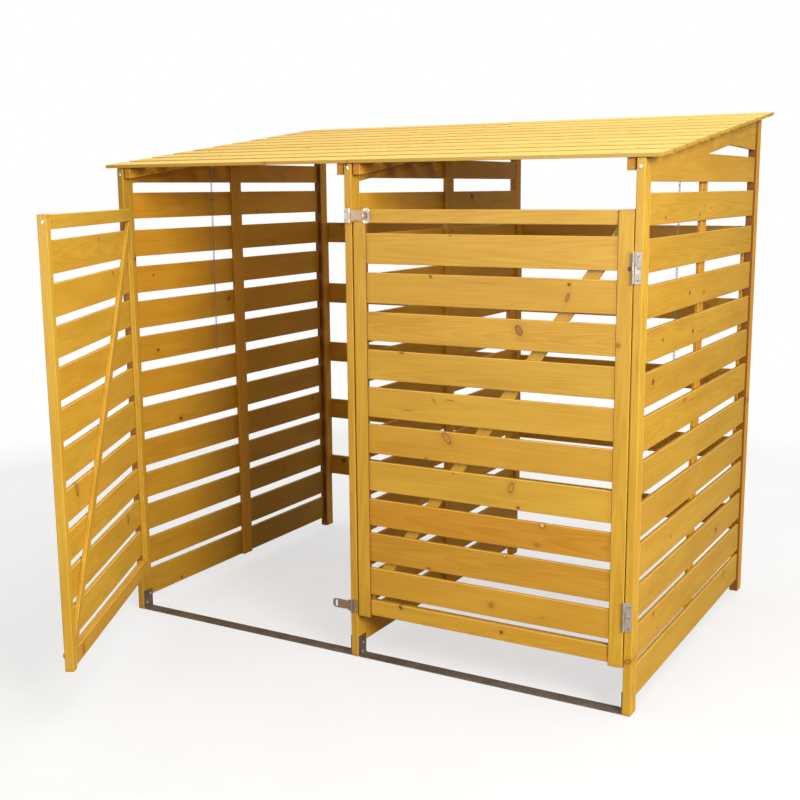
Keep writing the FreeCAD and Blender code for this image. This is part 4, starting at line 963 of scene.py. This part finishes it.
HS = AXIS_X - 45.0      # staple centre, from the hinge axis
for sd_, place, zc, names in (("left", place_left, 121.5, None), ("right", place_right, 1000.0, None)):
    R = Rings()
    for z in (124.0, 999.0):
        R.screw(place(S0 + 0.2, 12.0, z), door_vec(place, -1, 0), r=3.4, proud=0.35, turn=spin(), shank=1.9, length=38.0)
        R.screw(place(S1, 12.0, z), door_vec(place, 1, 0), r=3.4, proud=0.35, turn=spin(), shank=1.9, length=38.0)
    for z0 in (180.0, 874.0):
        for dz in (9.0, 30.0, 51.0):
            R.screw(place(S0, 9.5, z0 + dz), door_vec(place, -1, 0), r=2.6, proud=0.15, turn=spin(), shank=1.4, length=15.0)
    for dz in (-13.6, 13.6):
        R.screw(place(HS, -0.25, zc + dz), door_vec(place, 0, -1), r=2.2, proud=0.2, turn=spin(), shank=1.2, length=11.0)
    R.make(sd_ + "_door_screws_detail", sd_ + "_door", (sd_ + "_door_screws",), "zinc_steel", SCREW)
    # oval base plate with a rolled rim
    R = Rings()
    rows = []
    n = 56

    def oval(k, dd):
        row = []
        for i in range(n):
            a = 2 * math.pi * i / n
            cx, cz = math.cos(a), math.sin(a)
            x = 11.0 * k * (abs(cx) ** 0.9) * (1 if cx >= 0 else -1)
            z = (17.0 - 11.0 + 11.0 * k) * (abs(cz) ** 0.9) * (1 if cz >= 0 else -1)
            R.v.append(Vector(place(HS - x, dd, zc + z)))
            row.append(len(R.v) - 1)
        return row
    for k, dd in ((1.0, 0.6), (1.0, -0.1), (0.96, -0.33), (0.90, -0.40), (0.83, -0.36), (0.78, -0.12), (0.70, -0.08), (0.2, -0.08)):
        rows.append(oval(k, dd))
    R.v.append(Vector(place(HS, -0.08, zc)))
    c0 = len(R.v) - 1
    for a, b in zip(rows, rows[1:]):
        for i in range(n):
            j = (i + 1) % n
            R.f.append((a[i], b[i], b[j], a[j]))
    for i in range(n):
        R.f.append((rows[-1][i], c0, rows[-1][(i + 1) % n]))
    R.v.append(Vector(place(HS, 0.6, zc)))
    for i in range(n):
        R.f.append((rows[0][(i + 1) % n], len(R.v) - 1, rows[0][i]))
    R.make(sd_ + "_door_staple_plate_detail", sd_ + "_door", (sd_ + "_door_staple_plate",), "zinc_steel", BRIGHT, limit=40.0)

# nails and hinge screws of the lids, and the chains
nrm = Vector((0, -math.sin(SLOPE), math.cos(SLOPE)))
for sd_, sg in (("left", -1), ("right", 1)):
    R = Rings()
    for i in range(SLAT_N):
        y0 = SLAT_Y0 + i * pitch
        for xb in (BEARER_IN + BEARER_W / 2, BEARER_OUT + BEARER_W / 2):
            for dy in (16.0, 48.0):
                y = y0 + dy
                if y > 842.0:
                    continue
                R.nail((sg * (xb + rs.uniform(-0.4, 0.4)), y, roof(y, SLAT_T)), nrm)
    for x0 in (120.0, 500.0):
        for dx in (9.0, 32.0, 55.0):
            R.screw((sg * (x0 + dx), 877.0, roof(877.0, -1.2)), -nrm, r=2.6, proud=0.25, turn=spin(), shank=1.3, length=7.0)
    R.make(sd_ + "_lid_fixings_detail", sd_ + "_lid", (sd_ + "_lid_fixings",), "zinc_steel", SCREW)
    # chain: closed links, each turned a quarter from the last
    LP, LR, LW = 4.4, 0.5, 5.4
    eye_z = roof(320.0, -BEARER_H) - 4.5 - 11.4
    z1 = eye_z + 1.35 + LR - (LP / 2 + LR + 0.05)
    R = Rings()
    half = LP / 2 + LR - (LW / 2 - LR) + 0.05
    rr = LW / 2 - LR
    for i in range(int(480.0 / LP)):
        path = []
        for k in range(9):
            a = math.pi * k / 8
            path.append((rr * math.cos(a), half + rr * math.sin(a)))
        for k in range(9):
            a = math.pi + math.pi * k / 8
            path.append((rr * math.cos(a), -half + rr * math.sin(a)))
        c = Vector((sg * 625.5, 320.0, z1 - i * LP))
        if i % 2:
            pts = [c + Vector((a, 0, b)) for a, b in path]
            nn = Vector((0, 1, 0))
        else:
            pts = [c + Vector((0, a, b)) for a, b in path]
            nn = Vector((1, 0, 0))
        R.tube(pts, LR, 8, normals=nn)
    R.make(sd_ + "_chain_links", sd_ + "_chain", (sd_ + "_chain",), "zinc_steel", CHAIN, limit=70.0)

# ------------------------------------------------------------------ floor and light
fm = bpy.data.materials.new("studio_floor")
t = Tree(fm)
tc = t.node("ShaderNodeTexCoord").outputs["Object"]
fn, _ = t.noise(tc, 3.0, 4.0, 0.6)
seen = t.node("ShaderNodeLightPath").outputs["Is Camera Ray"]
col = t.mix(seen, rgb(140, 134, 124), t.mix(t.linear(fn, 0.3, 0.7), rgb(205, 204, 202), rgb(198, 197, 195)))
bs = t.node("ShaderNodeBsdfPrincipled")
t.link(col, bs.inputs["Base Color"])
bs.inputs["Roughness"].default_value = 0.75
bs.inputs["Specular IOR Level"].default_value = 0.2
far = t.vmath("LENGTH", tc)
clear = t.node("ShaderNodeBsdfTransparent")
mx = t.node("ShaderNodeMixShader")
fade = t.smooth(far, 1.2, 2.9)
t.link(t.math("MAXIMUM", fade, t.math("MULTIPLY", seen, 0.62)), mx.inputs[0])
t.link(bs.outputs[0], mx.inputs[1])
t.link(clear.outputs[0], mx.inputs[2])
t.link(mx.outputs[0], t.node("ShaderNodeOutputMaterial").inputs[0])
fme = bpy.data.meshes.new("studio_floor")
fme.from_pydata([(-3.2, -3.2, -0.0006), (3.2, -3.2, -0.0006), (3.2, 3.2, -0.0006), (-3.2, 3.2, -0.0006)], [], [(0, 1, 2, 3)])
fme.materials.append(fm)
floor = bpy.data.objects.new("studio_floor", fme)
floor.location = (0.0, 0.3, 0.0)
bpy.context.scene.collection.objects.link(floor)

wd = bpy.data.worlds.new("studio")
bpy.context.scene.world = wd
wd.use_nodes = True
wn = wd.node_tree.nodes
wn.clear()
bg1 = wn.new("ShaderNodeBackground")
bg1.inputs["Color"].default_value = (1.0, 1.0, 1.0, 1.0)
bg1.inputs["Strength"].default_value = 1.0
bg2 = wn.new("ShaderNodeBackground")
bg2.inputs["Color"].default_value = (1.0, 0.99, 0.97, 1.0)
wt = wn.new("ShaderNodeTexCoord")
ws = wn.new("ShaderNodeSeparateXYZ")
wr = wn.new("ShaderNodeMapRange")
wr.interpolation_type = "SMOOTHSTEP"
for k_, v_ in ((1, -0.2), (2, 0.9), (3, 0.19), (4, 0.74)):
    wr.inputs[k_].default_value = v_
wd.node_tree.links.new(wt.outputs["Generated"], ws.inputs[0])
wd.node_tree.links.new(ws.outputs[2], wr.inputs[0])
wd.node_tree.links.new(wr.outputs[0], bg2.inputs["Strength"])
lp = wn.new("ShaderNodeLightPath")
wm_ = wn.new("ShaderNodeMixShader")
wo = wn.new("ShaderNodeOutputWorld")
wd.node_tree.links.new(lp.outputs["Is Camera Ray"], wm_.inputs[0])
wd.node_tree.links.new(bg2.outputs[0], wm_.inputs[1])
wd.node_tree.links.new(bg1.outputs[0], wm_.inputs[2])
wd.node_tree.links.new(wm_.outputs[0], wo.inputs[0])


def area(name, loc, target, size, power, color=(1, 1, 1)):
    ld = bpy.data.lights.new(name, "AREA")
    ld.shape = "DISK"
    ld.size = size
    ld.energy = power
    ld.color = color
    ob = bpy.data.objects.new(name, ld)
    ob.location = loc
    ob.rotation_euler = (Vector(target) - Vector(loc)).to_track_quat("-Z", "Y").to_euler()
    bpy.context.scene.collection.objects.link(ob)
    return ob


area("key", (3.0, -1.5, 1.9), (0.2, 0.1, 0.7), 1.5, 154, (1.0, 0.985, 0.95))
area("overhead", (0.5, 0.3, 3.4), (0.1, 0.3, 0.0), 3.0, 66)
area("front", (-0.7, -3.1, 1.5), (0.2, 0.0, 0.8), 1.6, 17)
# a broad soft sheen on the front's upper right
sheen = area("sheen", (-0.55, -3.2, 1.2), (0.4, 0.0, 0.75), 1.5, 52)
sheen.visible_diffuse = False
area("fill_left", (-3.2, -3.4, 2.2), (0, 0.2, 0.6), 2.6, 8)
for nm_, loc_, power_ in (("side_left", (-3.5, 1.2, 1.7), 20), ("back", (0.5, 4.0, 1.9), 34)):
    area(nm_, loc_, (0.0, 0.35, 0.6), 2.3, power_).visible_glossy = False

bpy.context.scene.view_settings.view_transform = "Standard"
bpy.context.scene.view_settings.look = "None"
bpy.context.scene.view_settings.exposure = 0.0
